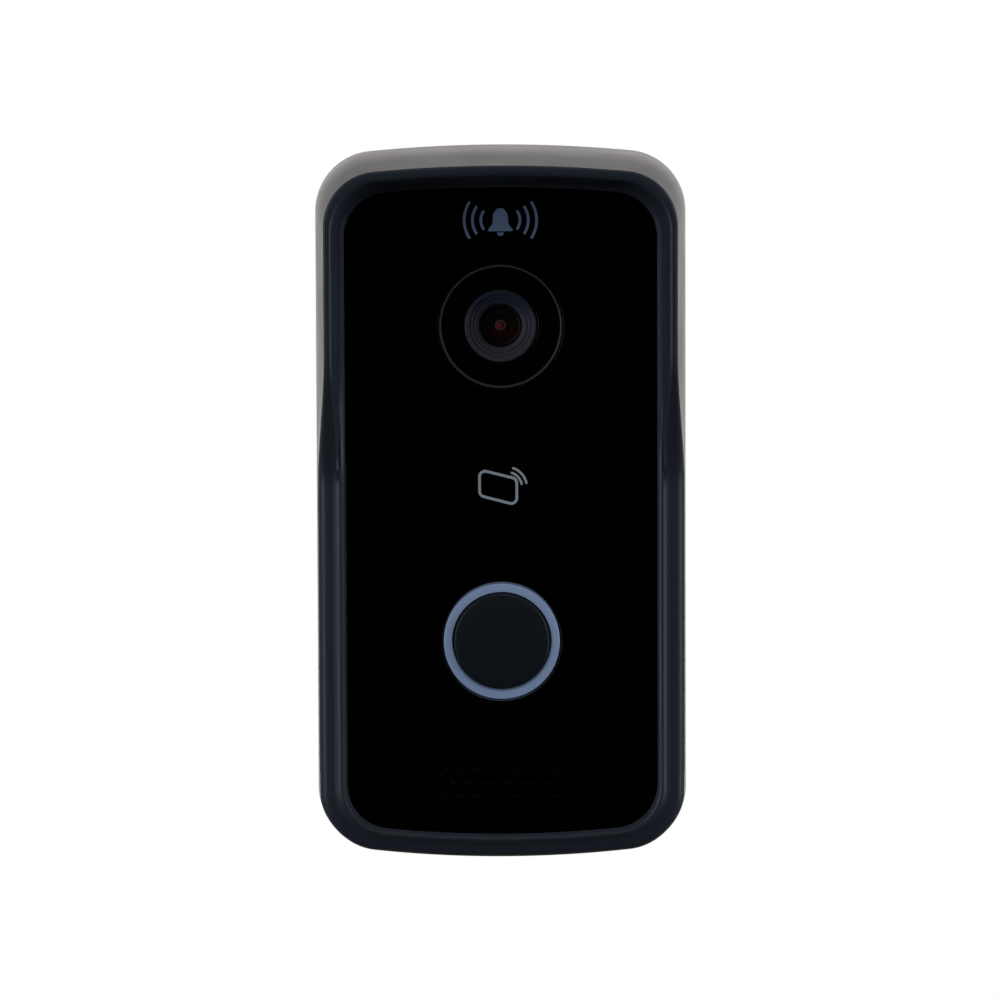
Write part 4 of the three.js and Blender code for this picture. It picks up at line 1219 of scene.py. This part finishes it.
def build_bracket():
    window = box_outline(WIRING.left - 0.5, WIRING.right + 0.5, WIRING.bottom - 1, WIRING.top + 1, 3, 10)
    slots = [box_outline(x - 4, x + 4, z - 2.1, z + 2.1, 2.09, 10) for x, z in WALL_SLOTS]
    tab_keys = [(-4.5, -56), (-4.5, -58.6), (4.5, -58.6), (4.5, -56)]
    edge_keys = [*tab_keys, (23.5, -56, 5), (23.5, 56, 5), (-23.5, 56, 5), (-23.5, -56, 5)]
    plate = sheet_mesh([rounded(edge_keys, 12)], 0, BRACKET_THICK, 0)
    unions = [block(-4.4, 4.4, 0.5, bracket.front, -58.55, -57.0)]
    for x in HOOKS_X:
        hook = [(0.5, 48.2), (5.0, 48.2), (5.0, 54.2), (3.9, 54.2), (3.9, 49.8), (0.5, 49.8)]
        unions.append(across_mesh(hook, x - 4, x + 4))
    cuts = [upright_disc(1.65, -60, -55, 0, lock.depth)]
    cuts += [sheet_mesh([outline], -1, 3, 0) for outline in (window, *slots)]
    for x in BEADS_X:
        raised = box_outline(x - 0.9, x + 0.9, -4, 44, 0.85)
        unions.append(sheet_mesh([raised], BRACKET_THICK - 0.2, 1.85, 0.12))
        pressed = box_outline(x - 0.8, x + 0.8, -4, 44, 0.75)
        cuts.append(sheet_mesh([pressed], -1, 0.35, 0))
    mesh_piece("bracket_pressing", carved(plate, unions, cuts), "zinc_plate", "wall_bracket", 0.16)


build_bracket()
grommet = place("cable_grommet")
outer = box_outline(grommet.left, grommet.right, grommet.bottom, grommet.top, 2.8, 10)
inner = box_outline(WIRING.left + 1.2, WIRING.right - 1.2, WIRING.bottom + 0.7, WIRING.top - 0.7, 1.8, 10)
sheet_piece("window_grommet", [outer, inner], grommet.back, grommet.front, "black_rubber",
            "cable_grommet", 0.5)


# %% Locking screw and microphone
HEX_SIDES = 6


def standing_piece(name, keys, finish, node, at, recess):
    """A piece turned about an upright axis, with a recess cut in its underside."""
    body = upright(rounded(keys, 5, closed=False), at.x, at.depth, 64)
    mesh_piece(name, carved(body, cuts=[recess]), finish, node)


LOCK_KEYS = [(0, lock.bottom), (2.7, lock.bottom, 0.3), (2.7, -63.7, 0.1), (1.4, -63.7, 0.05),
             (1.4, -57.4, 0.1), (0.9, lock.top, 0.1), (0, lock.top)]
socket = upright_disc(1.1, lock.bottom - 1, lock.bottom + 0.6, lock.x, lock.depth, HEX_SIDES)
standing_piece("locking_screw", LOCK_KEYS, "black_oxide", "lock_screw", lock, socket)
CAPSULE_KEYS = [(0, microphone.bottom), (microphone.radius, microphone.bottom, 0.2),
                (microphone.radius, microphone.top, 0.25), (0, microphone.top)]
port = upright_disc(0.5, microphone.bottom - 1, microphone.bottom + 0.3, microphone.x, microphone.depth, 24)
standing_piece("microphone_capsule", CAPSULE_KEYS, "tinned_sheet", "microphone", microphone, port)

# %% [markdown]
# ## Boards, connectors and everything else inside
#
# The rest is hidden unless the housing is opened. Each piece keeps the shape that the CAD gave it, but with
# its hard edges taken off, and gets the finish of its material slot. The two connectors that show in the
# wiring window first get their contacts and clamp screws.

# %% The finish of each material slot
SLOT_FINISH = {
    "housing_plastic": "satin_housing", "panel_gloss": "panel_acrylic", "button_plastic": "matte_button",
    "light_diffuser": "slate_diffuser", "dark_trim": "dark_trim", "clear_window": "window_glass",
    "lens_glass": "front_element", "infrared_black": "infrared_black", "lens_black": "anodised_barrel",
    "cover_plastic": "satin_cover", "plated_steel": "zinc_plate", "black_steel": "black_oxide",
    "copper_track": "copper_track", "board_green": "solder_mask", "moulded_black": "moulded_epoxy",
    "silicone": "milky_silicone", "black_rubber": "black_rubber", "foam_tape": "foam_tape",
    "led_body": "led_epoxy", "shield_tin": "tinned_sheet", "terminal_green": "terminal_green",
    "ferrite": "ferrite_ceramic", "capacitor_sleeve": "capacitor_sleeve", "cone_paper": "cone_paper",
    "switch_red": "switch_red"}


def cad_mesh(node):
    """A merged copy of a CAD node's mesh. The node itself is left alone."""
    bm = bmesh.new()
    bm.from_mesh(frame["nodes"][node].data)
    bmesh.ops.remove_doubles(bm, verts=bm.verts, dist=1e-6)
    bmesh.ops.dissolve_limit(bm, angle_limit=math.radians(0.5), verts=bm.verts, edges=bm.edges)
    return as_mesh(bm, node)


# %% Detail for the connectors
jack, terminal = place("network_jack"), place("terminal_block")


def contact_row(name, finish, centre, pitch, count, size):
    """A row of small blocks along X, as a mesh: size is (width, back, front, bottom, top)."""
    width, back, front, bottom, top = size
    master = linked("master", block(-width / 2, width / 2, back, front, bottom, top))
    recipe = Recipe(name, finish, master=master, count=count, pitch=pitch * MM, centre=centre * MM)
    offset = recipe.combine(x=recipe["pitch"])
    start = recipe.combine(x=recipe["centre"] - recipe["pitch"] * (recipe["count"] - 1) * 0.5)
    inputs = {"Count": recipe["count"], "Start Location": start, "Offset": offset}
    line = recipe.add("GeometryNodeMeshLine", {}, inputs)["Mesh"]
    return recipe.mesh(recipe.repeat(line, recipe["master"]))


PIN_PITCH, PIN_COUNT = 1.02, 8
PIN_SIZE = (0.4, 3.2, 11.4, jack.z + 3.3, jack.z + 3.55)
pins = contact_row("jack_pins", "gold_contact", jack.x, PIN_PITCH, PIN_COUNT, PIN_SIZE)
mesh_piece("network_jack_pins", pins, "gold_contact", slot="copper_track")

CLAMP_PITCH, CLAMP_COUNT = 4, 4
CLAMP_Z = terminal.z + 1.8
CLAMPS_X = [terminal.x + (i - (CLAMP_COUNT - 1) / 2) * CLAMP_PITCH for i in range(CLAMP_COUNT)]
wells = [disc(1.25, terminal.back - 0.01, terminal.back + 1.2, x, CLAMP_Z, 24) for x in CLAMPS_X]
mesh_piece("terminal_block_body", carved(cad_mesh("terminal_block"), cuts=wells), "terminal_green",
           "terminal_block", 0.12)
face, foot = terminal.back + 0.35, terminal.back + 1.25
HEAD_KEYS = [(0, face), (1.15, face, 0.15), (1.15, foot, 0.05), (0, foot)]
for i, x in enumerate(CLAMPS_X):
    head = turned_mesh(rounded(HEAD_KEYS, 4, closed=False), x, CLAMP_Z, 32)
    slit = block(x - 1.3, x + 1.3, terminal.back, terminal.back + 0.75, CLAMP_Z - 0.18, CLAMP_Z + 0.18)
    mesh_piece(f"terminal_clamp_screw_{i + 1}", carved(head, cuts=[slit]), "zinc_plate", slot="plated_steel")

# %% Everything else, softened
PLAIN_EDGE_MM = 0.08
EDGE_MM = {"network_jack": 0.15, "speaker_cone": 0.05, "antenna_coil": 0.02, "ferrite_sheet": 0.05}
replaced = set()
for piece in pieces.values():
    replaced.update(piece.get("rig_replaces", []))
for node in frame["nodes"]:
    if node not in replaced:
        finish, edge = SLOT_FINISH[SLOT_OF[node]], EDGE_MM.get(node, PLAIN_EDGE_MM)
        mesh_piece(f"{node}_soft", cad_mesh(node), finish, node, edge)
print(len(pieces), "pieces in all")

# %% [markdown]
# ## Floor, lights and surroundings
#
# The floor is a wide pale disc below the object. The light is a studio's: a bright field behind, a faint one
# overhead, tall softboxes far out at both sides with a weak one above, and a dark space in front, which is
# what a polished black panel needs in order to look black. For the same reason the floor neither shows in
# reflections nor throws light upwards, as if a black flag lay over it, and glows a little to stay pale.

# %% Floor
FLOOR_Z = -0.30
FLOOR_RADIUS = 1.2
FLOOR_GLOW = 0.42


def add_floor():
    bm = bmesh.new()
    bmesh.ops.create_circle(bm, cap_ends=True, radius=FLOOR_RADIUS, segments=128,
                            matrix=Matrix.Translation((0, -0.1, FLOOR_Z)))
    mesh = as_mesh(bm, "floor")
    graph = new_material("pale_floor")
    tone = mix_colours(graph, noise(graph, 12, 4.0), (0.78, 0.77, 0.76, 1), (0.84, 0.83, 0.82, 1))
    principled(graph, {"Base Color": tone, "Roughness": 0.8, "Emission Color": (0.9, 0.89, 0.88, 1),
                       "Emission Strength": FLOOR_GLOW})
    mesh.materials.append(materials["pale_floor"])
    floor = linked("floor", mesh)
    floor.visible_glossy = floor.visible_diffuse = False


add_floor()
print(f"floor {2 * FLOOR_RADIUS:.1f} m across")


# %% Surroundings
def add_world():
    """Light by direction. The turn is the angle away from straight behind the object, in radians."""
    world = bpy.data.worlds.new("studio")
    bpy.context.scene.world = world
    world.use_nodes = True
    world.node_tree.nodes.clear()
    graph = Graph(world.node_tree)
    direction = graph.add("ShaderNodeTexCoord")["Generated"]
    parts = graph.add("ShaderNodeSeparateXYZ", {}, {"Vector": direction})
    turn = parts["Y"].math("ARCCOSINE")
    core = fade(graph, turn, 0.05, 0.45, 3.2, 0.0, "LINEAR")
    behind = fade(graph, turn, 0.3, 1.6, 0.5, 0.0, "LINEAR")
    in_front = fade(graph, turn, 2.05, 2.85, 0.035, 0.003, "LINEAR")
    overhead = fade(graph, parts["Z"], 0.15, 1.0, 0.0, 0.05)
    glow = core + behind + overhead + in_front
    around = graph.add("ShaderNodeBackground", {}, {"Color": (1.0, 0.955, 0.915, 1), "Strength": glow})
    backdrop = graph.add("ShaderNodeBackground", {}, {"Color": (1, 1, 1, 1), "Strength": 1.0})
    seen = graph.add("ShaderNodeLightPath")["Is Camera Ray"]
    inputs = {0: seen, 1: around["Background"], 2: backdrop["Background"]}
    mixed = graph.add("ShaderNodeMixShader", {}, inputs)["Shader"]
    graph.add("ShaderNodeOutputWorld", {}, {"Surface": mixed})


add_world()


# %% Lights
def softbox(name, at, width, height, power, colour):
    data = bpy.data.lights.new(name, "AREA")
    data.shape, data.size, data.size_y = "RECTANGLE", width, height
    data.energy, data.color = power, colour
    light = bpy.data.objects.new(name, data)
    bpy.context.collection.objects.link(light)
    light.matrix_world = Matrix.Translation(at) @ (-Vector(at)).to_track_quat("-Z", "Y").to_matrix().to_4x4()


COOL = (0.80, 0.90, 1.0)
softbox("left softbox", (-1.25, -0.72, 0.1), 0.5, 1.4, 9, COOL)
softbox("right softbox", (1.42, -0.42, 0.1), 0.5, 1.4, 10.5, COOL)
softbox("high softbox", (0, -0.45, 1.35), 1.2, 0.4, 2, (0.92, 0.96, 1.0))

scene = bpy.context.scene
scene.view_settings.view_transform = "Standard"
scene.view_settings.look = "None"
# The depths of the lens are seen through four faces of glass, and their light comes in through four more.
scene.cycles.transparent_max_bounces = 24
print(len(bpy.data.lights), "softboxes")
